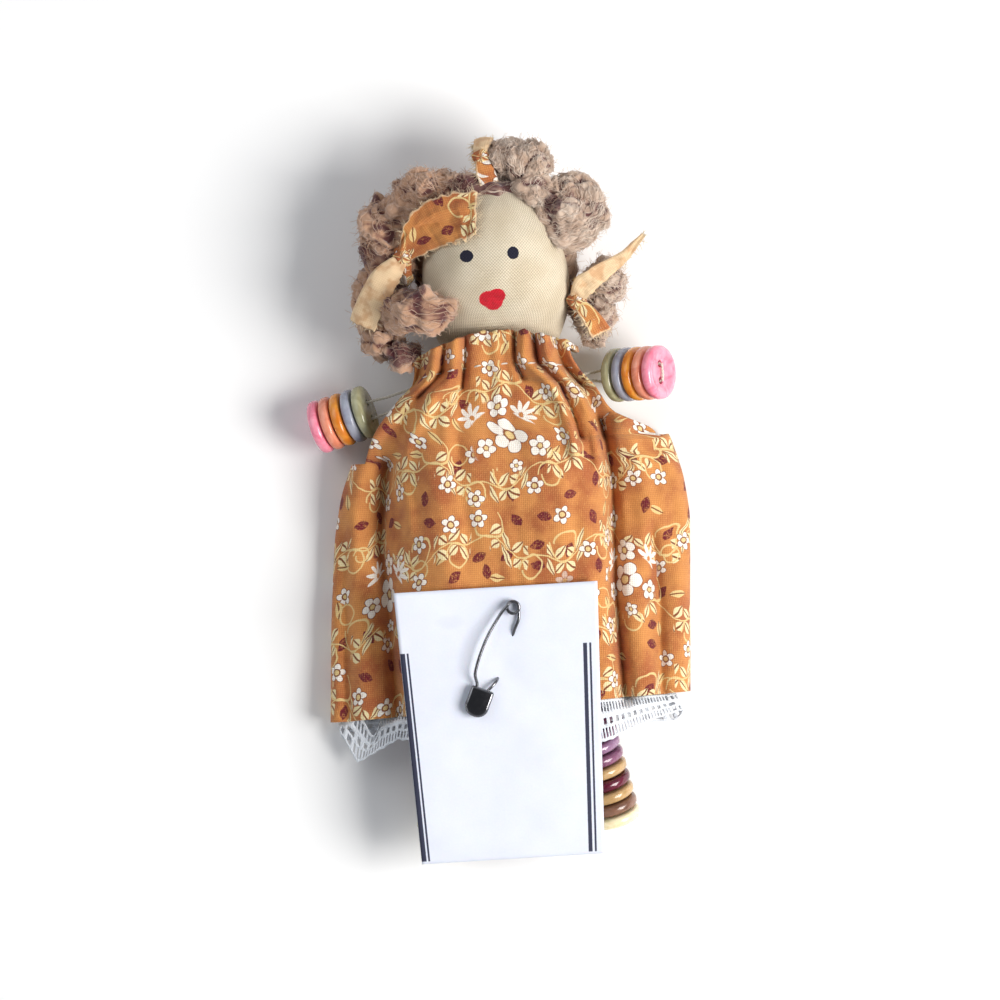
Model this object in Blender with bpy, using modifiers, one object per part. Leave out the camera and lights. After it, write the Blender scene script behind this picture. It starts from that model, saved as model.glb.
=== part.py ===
"""A small handmade rag doll with button limbs, lying on its back.

A stuffed muslin body carries a lace-edged petticoat and a gathered cotton dress. Each arm and leg is a
stack of buttons on a doubled thread that is knotted to the body, so it swings from that knot. Hair of
crimped wool is tied in bunches with torn strips of the dress cloth, and a folded paper card is fastened
to the skirt with a safety pin.

The doll's head points to +Y, its face to +Z, and its own left hand is at +X. The origin is on the flat
back of the dress, which lies on the surface z = 0. Lengths are in metres.
"""

import math

import bmesh
import bpy
from mathutils import Matrix, Vector, noise

MM = 0.001
GAP = 0.3 * MM

# Cloth, thread and paper
DRESS_CLOTH = 0.45 * MM
PETTICOAT_CLOTH = 0.4 * MM
LACE = 0.45 * MM
MUSLIN = 0.5 * MM
TIE_CLOTH = 0.5 * MM
TIE_RADIUS = 0.75 * MM
CARD = 0.3 * MM
THREAD_RADIUS = 0.35 * MM

# Buttons
BUTTON_DIAMETER = 12.2 * MM
BUTTON_THICKNESS = 2.4 * MM
BUTTON_PITCH = BUTTON_THICKNESS + GAP
BUTTON_WELL_DEPTH = 0.7 * MM
HOLE_SPACING = 3.8 * MM
HOLE_RADIUS = 1.0 * MM
BUTTON_SIDES = 12
HOLE_SIDES = 6

# Muslin body from the crown of the head to the hips: y, middle z, half width, half depth, all in mm
BODY_SECTIONS = (
    (66.2, 18.9, 3.4, 3.0),
    (64.2, 18.7, 8.0, 7.2),
    (60.0, 18.3, 12.4, 11.2),
    (54.0, 18.0, 15.3, 13.8),
    (47.5, 17.8, 16.5, 14.6),
    (41.5, 17.2, 16.6, 13.8),
    (36.5, 15.6, 15.6, 11.7),
    (31.5, 13.4, 13.6, 9.2),
    (27.5, 12.3, 11.6, 8.0),
    (23.5, 11.9, 13.4, 8.5),
    (17.5, 11.4, 17.0, 9.2),
    (8.0, 11.2, 19.8, 9.3),
    (-4.0, 11.0, 19.4, 9.0),
    (-13.0, 10.6, 16.6, 8.1),
    (-18.0, 10.2, 12.0, 6.4),
    (-20.5, 10.0, 7.0, 4.2),
)
NECK_Y = 27.5
BODY_SIDES = 18

# Dress from the neck edge to the hem, all in mm:
# y, right edge x, left edge x, side rounding, crown height, crown half width, wing height
DRESS_SECTIONS = (
    (33.5, -21.8, 17.6, 6.0, 27.4, 20.0, 17.0),
    (29.5, -21.6, 17.8, 6.0, 24.6, 20.0, 16.0),
    (26.2, -21.6, 19.2, 5.0, 22.6, 21.0, 16.4),
    (22.5, -22.8, 21.4, 2.5, 22.7, 22.0, 18.0),
    (17.0, -27.6, 24.4, 2.5, 22.7, 24.0, 18.4),
    (12.6, -31.2, 26.8, 2.5, 22.6, 25.0, 16.6),
    (10.6, -32.4, 36.0, 2.5, 22.5, 25.0, 14.6),
    (5.5, -34.8, 37.6, 3.5, 22.3, 25.5, 10.8),
    (-1.0, -37.5, 39.4, 3.5, 22.0, 26.0, 8.6),
    (-10.0, -39.5, 40.4, 3.0, 21.2, 27.0, 7.6),
    (-20.0, -40.6, 39.8, 3.0, 20.0, 28.5, 7.4),
    (-31.0, -41.7, 39.1, 3.0, 18.7, 30.0, 7.6),
    (-41.0, -42.4, 38.6, 3.0, 17.7, 31.8, 8.0),
    (-51.0, -43.1, 38.0, 3.0, 16.9, 33.5, 8.6),
)
CROWN_MIDDLE = -1.0
ARMHOLE_TOP, ARMHOLE_BOTTOM = 29.5, 6.0
GATHER_Y = 26.0
NECK_EDGE_DIP = 0.009
HEM_TILT = 0.027
NECK_PLEATS = 9
NECK_PLEAT_DEPTH = 1.0
NECK_PLEAT_END = 2.0
NECK_PLEAT_HALF_WIDTH, NECK_PLEAT_FAN = 19.5, 0.36
SKIRT_FOLDS = 4
SKIRT_FOLD_DEPTH = 0.6

# Petticoat: y, right edge x, left edge x, side rounding, then how far it stays under the dress's crown
# and under its wings
PETTICOAT_SECTIONS = (
    (3.0, -23.6, 23.6, 5.0, 1.1, 1.0),
    (-8.0, -31.0, 31.4, 4.0, 1.2, 1.1),
    (-20.0, -36.8, 36.2, 2.6, 1.4, 1.1),
    (-31.0, -38.2, 35.6, 2.6, 1.8, 1.1),
    (-41.0, -39.0, 35.2, 2.6, 2.1, 1.1),
    (-50.2, -39.7, 34.8, 2.6, 1.8, 1.2),
)
PETTICOAT_CROWN_INSET = 2.0
PETTICOAT_BACK = 1.05
PETTICOAT_FRONT_POINTS = 15
LACE_FRONT_POINTS = 33
LACE_TOP = -50.6
# Lower edge of the lace across the front, from the doll's right to its left: x, y in mm
LACE_FRONT_EDGE = (
    (-39.6, -53.6),
    (-36.0, -61.8),
    (-27.0, -57.0),
    (-12.0, -58.6),
    (0.0, -57.0),
    (17.5, -60.2),
    (28.0, -56.0),
    (36.7, -53.6),
)
LACE_BACK_EDGE = -56.6
LACE_DROOP_START = 28.0
LACE_DROOP_WIDTH = 10.0
LACE_DROOP = 0.30
LACE_FLARE = 0.05

# Threads inside the dress: the gathering thread's distance from the cloth at its sides, crown and wings
GATHER_INSET, GATHER_CROWN_INSET = 2.4, 2.0
GATHER_ROUNDING = 5.0
GATHER_BACK = 1.3
GATHER_THREAD_RADIUS = 0.25 * MM

# Limbs: the knot that the limb swings from, the middle of the inner face of its first button, the plan
# angle and rise of the stack, and how much further than the stack its buttons lean, in degrees
RIGHT_ARM = ((-17.4, 19.4, 11.4), (-30.1, 17.5, 9.8), 194.6, -15.0, 0.0)
LEFT_ARM = ((15.9, 22.0, 10.8), (25.2, 22.1, 8.6), 0.0, 33.0, 0.0)
RIGHT_LEG = ((-7.0, -22.6, 9.9), (-14.1, -54.2, 8.0), 257.4, -3.4, -14.0)
LEFT_LEG = ((7.0, -22.6, 9.9), (14.1, -54.2, 8.0), 282.6, -3.4, -14.0)
KNOT_RADIUS = 1.1 * MM

# Colours of the plastic, all linear
SAGE = (0.40, 0.39, 0.25)
GREY = (0.34, 0.37, 0.45)
ORANGE = (0.80, 0.27, 0.03)
SALMON = (0.82, 0.28, 0.17)
PINK = (0.86, 0.16, 0.22)
PLUM = (0.16, 0.03, 0.09)
MAUVE = (0.36, 0.17, 0.27)
LILAC = (0.42, 0.24, 0.36)
TAN = (0.52, 0.32, 0.14)
BURGUNDY = (0.19, 0.01, 0.05)
BROWN = (0.30, 0.17, 0.12)
CREAM = (0.88, 0.76, 0.48)
ARM_BUTTONS = (
    ("sage", SAGE),
    ("grey", GREY),
    ("orange", ORANGE),
    ("salmon", SALMON),
    ("pink", PINK),
)
LEG_BUTTONS = (
    ("plum", PLUM),
    ("dusk", MAUVE),
    ("lilac", LILAC),
    ("mauve", MAUVE),
    ("upper_tan", TAN),
    ("burgundy", BURGUNDY),
    ("lower_tan", TAN),
    ("brown", BROWN),
    ("cream", CREAM),
)
HAIR = (0.27, 0.15, 0.10)
THREAD = (0.80, 0.76, 0.66)
DRESS = (0.62, 0.26, 0.06)

# Head hair: a cap over the back of the head
HAIR_DEPTH = 2.7
HAIRLINE_LOW = (34.0, 9.0)
HAIRLINE_HIGH = (68.0, 27.5)
NAPE_Y = 34.3
HEAD_CLEARANCE = 0.35
# Lumps of loose hair: middle and radii in mm
TOPKNOT_LUMPS = (
    ((9.4, 71.2, 20.5), (5.8, 6.5, 6.9)),
    ((3.4, 70.9, 20.3), (5.2, 5.0, 5.2)),
)
LEFT_CURLS = (((17.0, 59.0, 21.0), (9.0, 8.4, 7.0)),)
RIGHT_CURLS = (((-14.5, 64.5, 19.5), (8.0, 6.0, 6.2)),)
LEFT_PIGTAIL = (
    ((18.6, 39.4, 16.5), (3.4, 3.2, 3.2)),
    ((24.6, 43.2, 16.0), (5.2, 5.0, 5.6)),
    ((21.4, 34.6, 14.6), (4.6, 5.6, 6.0)),
)
RIGHT_PIGTAIL = (
    ((-20.4, 50.0, 18.5), (3.6, 3.4, 3.4)),
    ((-25.4, 56.0, 16.6), (5.6, 8.6, 7.0)),
    ((-26.0, 41.0, 14.4), (6.0, 9.6, 7.0)),
    ((-16.0, 38.6, 27.6), (7.4, 4.8, 3.6)),
    ((-21.4, 39.6, 21.0), (4.6, 5.0, 7.0)),
)

TIE_KNOT_RADII = (2.1, 2.0, 1.8)
# Ties: middle, axis and radius of the loop, the knot, and the tails as (middle, half width) pairs, in mm
TOP_TIE = (
    (-1.2, 71.2, 20.2),
    (1.0, 0.15, 0),
    4.0,
    (-1.6, 72.6, 24.0),
    (
        (
            ((-1.6, 72.6, 24.0), (1.4, 0.3, 0.3)),
            ((-2.2, 75.0, 23.2), (2.2, 0.4, 0.2)),
            ((-2.4, 77.6, 21.0), (2.5, 0.2, 0.3)),
        ),
        (
            ((-1.6, 72.6, 24.0), (0.2, 1.2, 0.1)),
            ((-3.6, 72.2, 23.2), (0.4, 1.7, -0.2)),
            ((-5.2, 71.6, 21.4), (0.6, 1.8, -0.4)),
        ),
    ),
)
LEFT_TIE = (
    (18.4, 39.4, 16.5),
    (1.0, 0.05, 0),
    4.3,
    (17.6, 39.3, 21.4),
    (
        (
            ((17.6, 39.3, 21.4), (-0.7, 1.1, 0.5)),
            ((21.2, 42.4, 23.3), (-1.4, 1.7, 0.7)),
            ((25.6, 45.6, 23.0), (-1.7, 1.9, 0.5)),
            ((30.2, 49.2, 20.8), (-1.4, 1.6, 0.3)),
            ((34.2, 52.4, 18.6), (-0.5, 0.6, 0.1)),
        ),
        (
            ((17.6, 39.3, 21.4), (0.9, 0.4, 0.3)),
            ((20.2, 36.0, 22.2), (1.8, 0.8, -0.3)),
            ((22.9, 31.6, 20.8), (2.2, 0.9, -0.5)),
        ),
    ),
)
RIGHT_TIE = (
    (-20.4, 50.4, 18.5),
    (1.0, 0.1, 0),
    4.4,
    (-20.6, 51.2, 23.4),
    (
        (
            ((-20.6, 51.2, 23.4), (-0.8, 1.2, 0.2)),
            ((-16.8, 55.4, 26.4), (-2.7, 3.2, 0.5)),
            ((-12.2, 58.2, 28.8), (-2.7, 4.8, -1.0)),
            ((-7.6, 59.4, 30.2), (-1.3, 5.2, -1.3)),
            ((-3.4, 60.0, 31.2), (0.5, 4.6, -1.7)),
        ),
        (
            ((-20.6, 51.2, 23.4), (-1.1, 0.7, 0)),
            ((-24.2, 47.4, 25.4), (-2.6, 1.6, 0.2)),
            ((-27.6, 42.4, 23.2), (-2.8, 1.7, -0.3)),
            ((-30.6, 36.6, 20.6), (-2.8, 1.5, -0.6)),
        ),
    ),
)

# Card: y and z of its front leaf from top to fold, then the leaf behind
CARD_FRONT = (
    (-23.8, 21.1),
    (-37.0, 19.8),
    (-50.0, 18.7),
    (-62.0, 17.6),
    (-74.0, 16.7),
    (-84.2, 16.2),
)
CARD_BACK = ((-84.2, 14.8), (-76.0, 14.9), (-68.5, 15.2))
CARD_FOLD_STEPS = 4
CARD_TOP_EDGE = (-27.2, 18.6)
CARD_BOTTOM_EDGE = (-24.6, 16.6)
CARD_COLUMNS = 4

# Safety pin: a size of pin about 27 mm long
WIRE_RADIUS = 0.36 * MM
COIL_MIDDLE = Vector((-0.6, -28.6, 21.3)) * MM
COIL_RADIUS = 1.35 * MM
COIL_PITCH = 0.95 * MM
COIL_TURNS = 1.5
COIL_STEPS = 10
# The free stretches of the pin's fixed arm and of its pointed arm, between cap and coil
FIXED_ARM = ((-9.1, -41.2, 21.5), (-6.6, -35.0, 22.3), (-3.9, -30.8, 22.4))
POINTED_ARM = (
    (0.5, -31.2, 21.2),
    (-0.6, -33.6, 20.6),
    (-1.5, -36.0, 18.6),
    (-2.3, -38.6, 17.25),
    (-3.2, -41.4, 16.85),
    (-4.0, -43.8, 17.3),
    (-4.9, -46.2, 20.0),
)
CAP_SIZE = (5.4, 6.6, 2.1)
CAP_WALL = 0.35
CAP_MIDDLE = Vector((-8.7, -50.6, 20.35)) * MM
CAP_TILT = -4.0
CAP_ROUND_STEPS = 8
PIN_DIRECTION = Vector((-8.9, -24.4, 0)).normalized()


def vector_mm(point):
    """A point written in millimetres, in metres."""
    return Vector(point) * MM


def clear_scene():
    for obj in list(bpy.data.objects):
        bpy.data.objects.remove(obj, do_unlink=True)


def make_collection(name):
    collection = bpy.data.collections.new(name)
    bpy.context.scene.collection.children.link(collection)
    return collection


def make_material(name, colour, roughness, metallic=0.0):
    material = bpy.data.materials.get(name) or bpy.data.materials.new(name)
    material.use_nodes = True
    shader = material.node_tree.nodes["Principled BSDF"]
    shader.inputs["Base Color"].default_value = (*colour, 1)
    shader.inputs["Roughness"].default_value = roughness
    shader.inputs["Metallic"].default_value = metallic
    return material


def add_object(name, data, collection, material=None):
    obj = bpy.data.objects.new(name, data)
    collection.objects.link(obj)
    if material:
        data.materials.append(material)
    return obj


def add_mesh(name, mesh_bmesh, collection, material=None, smooth=True):
    """Turns a bmesh into a named object of the collection."""
    mesh = bpy.data.meshes.new(name)
    mesh_bmesh.to_mesh(mesh)
    mesh_bmesh.free()
    if smooth:
        mesh.shade_smooth()
    return add_object(name, mesh, collection, material)


def make_helper(obj):
    """A cutter or guide, which isn't part of the doll."""
    obj.hide_render = True
    obj.display_type = "WIRE"
    return obj


def evaluated_mesh(obj):
    """The mesh that an object's modifiers or curve settings give, with its own caps welded."""
    bpy.context.view_layer.update()
    graph = bpy.context.evaluated_depsgraph_get()
    mesh = bpy.data.meshes.new_from_object(obj.evaluated_get(graph))
    made = bmesh.new()
    made.from_mesh(mesh)
    bmesh.ops.remove_doubles(made, verts=made.verts, dist=0.001 * MM)
    bmesh.ops.recalc_face_normals(made, faces=made.faces)
    made.to_mesh(mesh)
    made.free()
    return mesh


def solidified(obj, thickness):
    """Gives an open cloth surface its thickness, half to each side."""
    modifier = obj.modifiers.new("thickness", "SOLIDIFY")
    modifier.thickness = thickness
    modifier.offset = 0.0
    return obj


def boolean(obj, other, operation):
    modifier = obj.modifiers.new(operation.lower(), "BOOLEAN")
    modifier.operation = operation
    modifier.solver = "EXACT"
    modifier.object = other
    return obj


def baked(obj):
    """Replaces an object's modifiers by the mesh that they give."""
    mesh = evaluated_mesh(obj)
    obj.modifiers.clear()
    old = obj.data
    for slot in old.materials:
        if slot and not mesh.materials:
            mesh.materials.append(slot)
    obj.data = mesh
    return obj


def between(table, y):
    """The row of a section table at y, between its two neighbours."""
    for upper, lower in zip(table, table[1:]):
        if y >= lower[0]:
            share = (upper[0] - y) / (upper[0] - lower[0])
            return [a + (b - a) * share for a, b in zip(upper, lower)]
    return list(table[-1])


def loft(rings, close_first=False, skip=None, wrap=True):
    """A bmesh skin through rings of equal length. skip(ring, side) leaves a face out, as at an armhole."""
    made = bmesh.new()
    rows = [[made.verts.new(point) for point in ring] for ring in rings]
    sides = len(rows[0]) if wrap else len(rows[0]) - 1
    for i, (upper, lower) in enumerate(zip(rows, rows[1:])):
        for j in range(sides):
            if skip and skip(i, j):
                continue
            k = (j + 1) % len(upper)
            made.faces.new((upper[j], upper[k], lower[k], lower[j]))
    if close_first:
        made.faces.new(rows[0])
    bmesh.ops.recalc_face_normals(made, faces=made.faces)
    return made


def oval_ring(section, grow=0.0):
    """A ring of the muslin body, grown outwards by grow mm."""
    y, middle, half_width, half_depth = section
    turn = 2 * math.pi / BODY_SIDES
    return [
        vector_mm(
            (
                (half_width + grow) * math.cos(i * turn),
                y,
                middle + (half_depth + grow) * math.sin(i * turn),
            )
        )
        for i in range(BODY_SIDES)
    ]


def cloth_crown(x, section):
    """Height of the upper cloth over x: a broad crown over the body, and lower wings at its sides."""
    crown, crown_half, wing = section[4:]
    share = abs(x - CROWN_MIDDLE) / (crown_half * 0.85)
    return wing + (crown - wing) / (1 + share**8)


def neck_pleat(x, y):
    """Gathers that fan out from the neck edge and fade out over the chest."""
    fade = min(1.0, max(0.0, (y - NECK_PLEAT_END) / (29.0 - NECK_PLEAT_END)))
    half_width = NECK_PLEAT_HALF_WIDTH + NECK_PLEAT_FAN * (DRESS_SECTIONS[0][0] - y)
    phase = (x - CROWN_MIDDLE) / half_width * math.pi * NECK_PLEATS
    return NECK_PLEAT_DEPTH * fade * math.cos(phase)


def skirt_fold(x, y):
    """Soft folds of the skirt, deepest at the hem. They only lift the cloth."""
    fade = min(1.0, max(0.0, -y / 50.0))
    phase = x / 40.0 * math.pi * SKIRT_FOLDS
    return SKIRT_FOLD_DEPTH * fade * (0.5 + 0.5 * math.cos(phase))


def tube_ring(section, front_points, side_points, back_points, back_z, front_extra=None, edge=None):
    """A ring of a flattened cloth tube: over the front, round one side, along the flat back and up again."""
    y, right, left, rounding = section[:4]
    inner_right, inner_left = right + rounding, left - rounding
    front = []
    for i in range(front_points):
        x = inner_right + (inner_left - inner_right) * i / (front_points - 1)
        z = cloth_crown(x, section) + (front_extra(x, y) if front_extra else 0.0)
        front.append((x, y, z))
    points = list(front)
    for side, edge_x, top in ((1, inner_left, front[-1][2]), (-1, inner_right, front[0][2])):
        if side < 0:
            for i in range(back_points):
                x = inner_left + (inner_right - inner_left) * i / (back_points - 1)
                points.append((x, y, back_z))
        for i in range(1, side_points + 1):
            angle = math.pi * i / (side_points + 1)
            z = (top + back_z) / 2 + (top - back_z) / 2 * math.cos(angle) * side
            points.append((edge_x + side * rounding * math.sin(angle), y, z))
    if edge:
        points = [edge(*point) for point in points]
    return [vector_mm(point) for point in points]


DRESS_FRONT_POINTS = 3 * NECK_PLEATS + 1
DRESS_SIDE_POINTS = 3
DRESS_BACK_POINTS = 9


def build_body(collection):
    muslin = make_material("muslin", (0.80, 0.70, 0.52), 0.85)
    cover = add_mesh(
        "body_cover",
        loft([oval_ring(s, -MUSLIN / MM / 2) for s in BODY_SECTIONS], close_first=True),
        collection,
        muslin,
    )
    solidified(cover, MUSLIN)

    fill = make_material("stuffing", (0.85, 0.83, 0.78), 0.95)
    shrink = -(MUSLIN + GAP) / MM - 0.15
    sections = BODY_SECTIONS[1:-1]
    made = loft([oval_ring(s, shrink) for s in sections], close_first=True)
    made.verts.ensure_lookup_table()
    made.faces.new(made.verts[-BODY_SIDES:])
    bmesh.ops.recalc_face_normals(made, faces=made.faces)
    add_mesh("body_stuffing", made, collection, fill)


def cord_curve(name, points, radius, cyclic=False, resolution=2):
    curve = bpy.data.curves.new(name, "CURVE")
    curve.dimensions = "3D"
    curve.bevel_depth = radius
    curve.bevel_resolution = resolution
    curve.use_fill_caps = not cyclic
    spline = curve.splines.new("POLY")
    spline.points.add(len(points) - 1)
    for target, point in zip(spline.points, points):
        target.co = (*point, 1)
    spline.use_cyclic_u = cyclic
    return curve


def build_neck_threads(collection):
    """The thread tied round the neck of the body, and the gathering thread inside the dress."""
    thread = make_material("thread", THREAD, 0.8)
    neck = between(BODY_SECTIONS, NECK_Y)
    radius = THREAD_RADIUS / MM
    around = [oval_ring(neck, radius + 0.32)[i] for i in range(BODY_SIDES)]
    cord = cord_curve("neck_thread", around, THREAD_RADIUS, cyclic=True)
    add_object("neck_thread", cord, collection, thread)

    section = list(between(DRESS_SECTIONS, GATHER_Y))
    section[1] += GATHER_INSET
    section[2] -= GATHER_INSET
    section[3] = GATHER_ROUNDING
    section[4] -= GATHER_CROWN_INSET
    section[5] -= 1.0
    section[6] -= GATHER_INSET
    ring = tube_ring(section, 9, 2, 4, GATHER_BACK)
    cord = cord_curve("gather_thread", ring, GATHER_THREAD_RADIUS, cyclic=True)
    add_object("gather_thread", cord, collection, thread)


def dress_edge(x, y, z):
    """Curves the neck edge and tilts the hem."""
    top, bottom = DRESS_SECTIONS[0][0], DRESS_SECTIONS[-1][0]
    near_top = max(0.0, (y - 20.0) / (top - 20.0))
    near_hem = max(0.0, (y + 20.0) / (bottom + 20.0))
    return (x, y - NECK_EDGE_DIP * x * x * near_top + HEM_TILT * x * near_hem, z)


def build_dress(collection):
    back_z = DRESS_CLOTH / MM / 2
    rings = [
        tube_ring(
            s,
            DRESS_FRONT_POINTS,
            DRESS_SIDE_POINTS,
            DRESS_BACK_POINTS,
            back_z,
            front_extra=lambda x, y: neck_pleat(x, y) + skirt_fold(x, y),
            edge=dress_edge,
        )
        for s in DRESS_SECTIONS
    ]
    first_side = DRESS_FRONT_POINTS - 1
    right_side = range(first_side, first_side + DRESS_SIDE_POINTS + 1)
    left_start = first_side + DRESS_SIDE_POINTS + DRESS_BACK_POINTS
    left_side = range(left_start, left_start + DRESS_SIDE_POINTS + 1)

    def armhole(ring, side):
        y = DRESS_SECTIONS[ring][0]
        return ARMHOLE_BOTTOM < y <= ARMHOLE_TOP and (side in right_side or side in left_side)

    dress = add_mesh(
        "dress",
        loft(rings, skip=armhole),
        collection,
        make_material("dress_cotton", DRESS, 0.85),
    )
    return solidified(dress, DRESS_CLOTH)


def petticoat_section(row):
    """A row of the petticoat as a full section, set inside the dress."""
    y, right, left, rounding, crown_drop, wing_drop = row
    _, _, _, _, crown, crown_half, wing = between(DRESS_SECTIONS, y)
    crown_half -= PETTICOAT_CROWN_INSET
    return (y, right, left, rounding, crown - crown_drop, crown_half, wing - wing_drop)


def build_petticoat(collection):
    rings = [
        tube_ring(petticoat_section(row), PETTICOAT_FRONT_POINTS, 2, 6, PETTICOAT_BACK)
        for row in PETTICOAT_SECTIONS
    ]
    petticoat = add_mesh(
        "petticoat",
        loft(rings),
        collection,
        make_material("petticoat_cotton", (0.86, 0.87, 0.89), 0.85),
    )
    return solidified(petticoat, PETTICOAT_CLOTH)


def lace_edge(x):
    """The lower edge of the lace at x, along the front."""
    edge = [(-60.0, LACE_FRONT_EDGE[0][1]), *LACE_FRONT_EDGE, (60.0, LACE_FRONT_EDGE[-1][1])]
    for (x0, y0), (x1, y1) in zip(edge, edge[1:]):
        if x <= x1:
            share = (x - x0) / (x1 - x0)
            return y0 + (y1 - y0) * share
    return edge[-1][1]


def build_lace(collection):
    """The lace sewn to the petticoat's hem. It droops at the sides, where nothing is under it."""
    section = (LACE_TOP, *petticoat_section(PETTICOAT_SECTIONS[-1])[1:])
    top = tube_ring(section, LACE_FRONT_POINTS, 2, 9, PETTICOAT_BACK)
    rings = []
    for share in (0.0, 0.5, 1.0):
        ring = []
        for point in top:
            x, y, z = (value / MM for value in point)
            on_back = z < PETTICOAT_BACK + 1.0
            low = LACE_BACK_EDGE if on_back else lace_edge(x)
            new_y = y + (low - y) * share
            beyond = max(0.0, abs(x) - LACE_DROOP_START) / LACE_DROOP_WIDTH
            droop = 0.0 if on_back else min(1.0, beyond) * LACE_DROOP * (y - new_y)
            ring.append(vector_mm((x * (1 + LACE_FLARE * share), new_y, z - droop)))
        rings.append(ring)
    lace = add_mesh("lace_trim", loft(rings), collection, make_material("lace", (0.72, 0.80, 0.88), 0.7))
    return solidified(lace, LACE)


def button_blank(helpers):
    """The one button shape that every button shares: a turned disc with a well and two holes, centred on its
    inner face, with its axis along +Z."""
    radius, thick = BUTTON_DIAMETER / 2, BUTTON_THICKNESS
    profile = (
        (0.0, thick - BUTTON_WELL_DEPTH),
        (radius * 0.54, thick - BUTTON_WELL_DEPTH),
        (radius * 0.78, thick),
        (radius, thick - 0.6 * MM),
        (radius, 0.6 * MM),
        (radius - 0.8 * MM, 0.0),
        (0.0, 0.0),
    )
    made = bmesh.new()
    points = [made.verts.new((r, 0, z)) for r, z in profile]
    for a, b in zip(points, points[1:]):
        made.edges.new((a, b))
    blank = make_helper(add_mesh("button_blank", made, helpers, smooth=False))
    screw = blank.modifiers.new("turn", "SCREW")
    screw.axis = "Z"
    screw.steps = screw.render_steps = BUTTON_SIDES
    screw.use_merge_vertices = True
    screw.merge_threshold = 0.00001
    for side in (-1, 1):
        bpy.ops.mesh.primitive_cylinder_add(
            vertices=HOLE_SIDES, radius=HOLE_RADIUS, depth=3 * thick, location=(0, side * HOLE_SPACING / 2, 0)
        )
        hole = bpy.context.active_object
        hole.name = f"button_hole_{'lower' if side < 0 else 'upper'}"
        bpy.context.collection.objects.unlink(hole)
        helpers.objects.link(hole)
        make_helper(hole)
        boolean(blank, hole, "DIFFERENCE")
    mesh = evaluated_mesh(blank)
    mesh.shade_smooth()
    mesh.set_sharp_from_angle(angle=math.radians(35))
    return mesh


def hang(piece, pivot):
    """Parents a piece to its pivot and leaves it where it is."""
    piece.parent = pivot
    piece.matrix_parent_inverse = Matrix.Translation(pivot.location).inverted()


def direction(plan_angle, rise):
    """A unit vector at an angle from +X in plan and at a rise above the surface, in degrees."""
    plan, up = math.radians(plan_angle), math.radians(rise)
    return Vector((math.cos(plan) * math.cos(up), math.sin(plan) * math.cos(up), math.sin(up)))


def button_frame(middle, along):
    """A button's matrix: its inner face's middle at middle, its axis along, its holes side by side."""
    across = Vector((0, 0, 1)).cross(along).normalized()
    up = across.cross(along)
    turn = Matrix((up, across, along)).transposed().to_4x4()
    return Matrix.Translation(middle) @ turn


def tube_mesh(name, points, radius, collection, material=None):
    """A tube along points, made a mesh so that it can cut or be cut."""
    curve = add_object(name, cord_curve(name, points, radius), collection)
    mesh = evaluated_mesh(curve)
    bpy.data.objects.remove(curve)
    return add_object(name, mesh, collection, material)


def build_limb(name, limb, colours, blank, collection, helpers):
    """A stack of buttons on a doubled thread, knotted at the body. All of it swings about the knot."""
    knot, start, plan_angle, rise, lean = limb
    knot, start = vector_mm(knot), vector_mm(start)
    pivot = add_object(f"{name}_pivot", None, collection)
    pivot.location = knot
    line = direction(plan_angle, rise)
    along = direction(plan_angle, rise + lean)
    step = BUTTON_PITCH / math.cos(math.radians(lean))
    for i, (colour_name, colour) in enumerate(colours):
        button = add_object(f"{name}_button_{i + 1}_{colour_name}", blank.copy(), collection)
        button.data.materials.append(make_material(f"button_{colour_name}", colour, 0.3))
        button.matrix_world = button_frame(start + line * step * i, along)
        hang(button, pivot)

    across = Vector((0, 0, 1)).cross(along).normalized()
    far = start + line * (len(colours) - 1) * step + along * (BUTTON_THICKNESS - BUTTON_WELL_DEPTH)
    strand = [
        knot + across * 0.5 * MM,
        start - line * 0.6 * MM + across * HOLE_SPACING / 2,
        far - line * 0.2 * MM + across * HOLE_SPACING / 2,
        far + along * (GAP + THREAD_RADIUS) + across * (HOLE_SPACING / 2 - 0.3 * MM),
    ]
    mirrored = [point - 2 * across * across.dot(point - start) for point in reversed(strand[1:])]
    path = strand + mirrored + [knot - across * 0.5 * MM]
    cord = tube_mesh(f"{name}_thread", path, THREAD_RADIUS, collection, make_material("thread", THREAD, 0.8))
    made = bmesh.new()
    bmesh.ops.create_icosphere(made, subdivisions=1, radius=KNOT_RADIUS)
    bump = make_helper(add_mesh(f"{name}_knot", made, helpers))
    bump.location = knot
    boolean(cord, bump, "UNION")
    hang(cord, pivot)


def lump(name, middle, radii, collection, grow=0.0, bumps=0.12):
    """A lumpy egg of hair."""
    made = bmesh.new()
    bmesh.ops.create_icosphere(made, subdivisions=2, radius=1.0)
    for vert in made.verts:
        swell = 1 + bumps * noise.noise(vert.co * 1.7 + Vector(middle) * 0.37)
        vert.co = Vector(
            (middle[i] + vert.co[i] * (radii[i] * swell + grow)) * MM for i in range(3)
        )
    return add_mesh(name, made, collection)


def lumps(name, shapes, collection, helpers, material=None, grow=0.0):
    """Lumps joined into one body."""
    first = lump(name, *shapes[0], collection, grow)
    for i, (middle, radii) in enumerate(shapes[1:]):
        other = make_helper(lump(f"{name}_lump_{i + 2}", middle, radii, helpers, grow))
        boolean(first, other, "UNION")
    baked(first)
    if material:
        first.data.materials.append(material)
    return first


def cutter_box(name, low, high, helpers, turn=None):
    made = bmesh.new()
    bmesh.ops.create_cube(made, size=1.0)
    low, high = vector_mm(low), vector_mm(high)
    bmesh.ops.scale(made, vec=high - low, verts=made.verts)
    bmesh.ops.translate(made, vec=(high + low) / 2, verts=made.verts)
    if turn:
        bmesh.ops.transform(made, matrix=turn, verts=made.verts)
    return make_helper(add_mesh(name, made, helpers, smooth=False))


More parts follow.
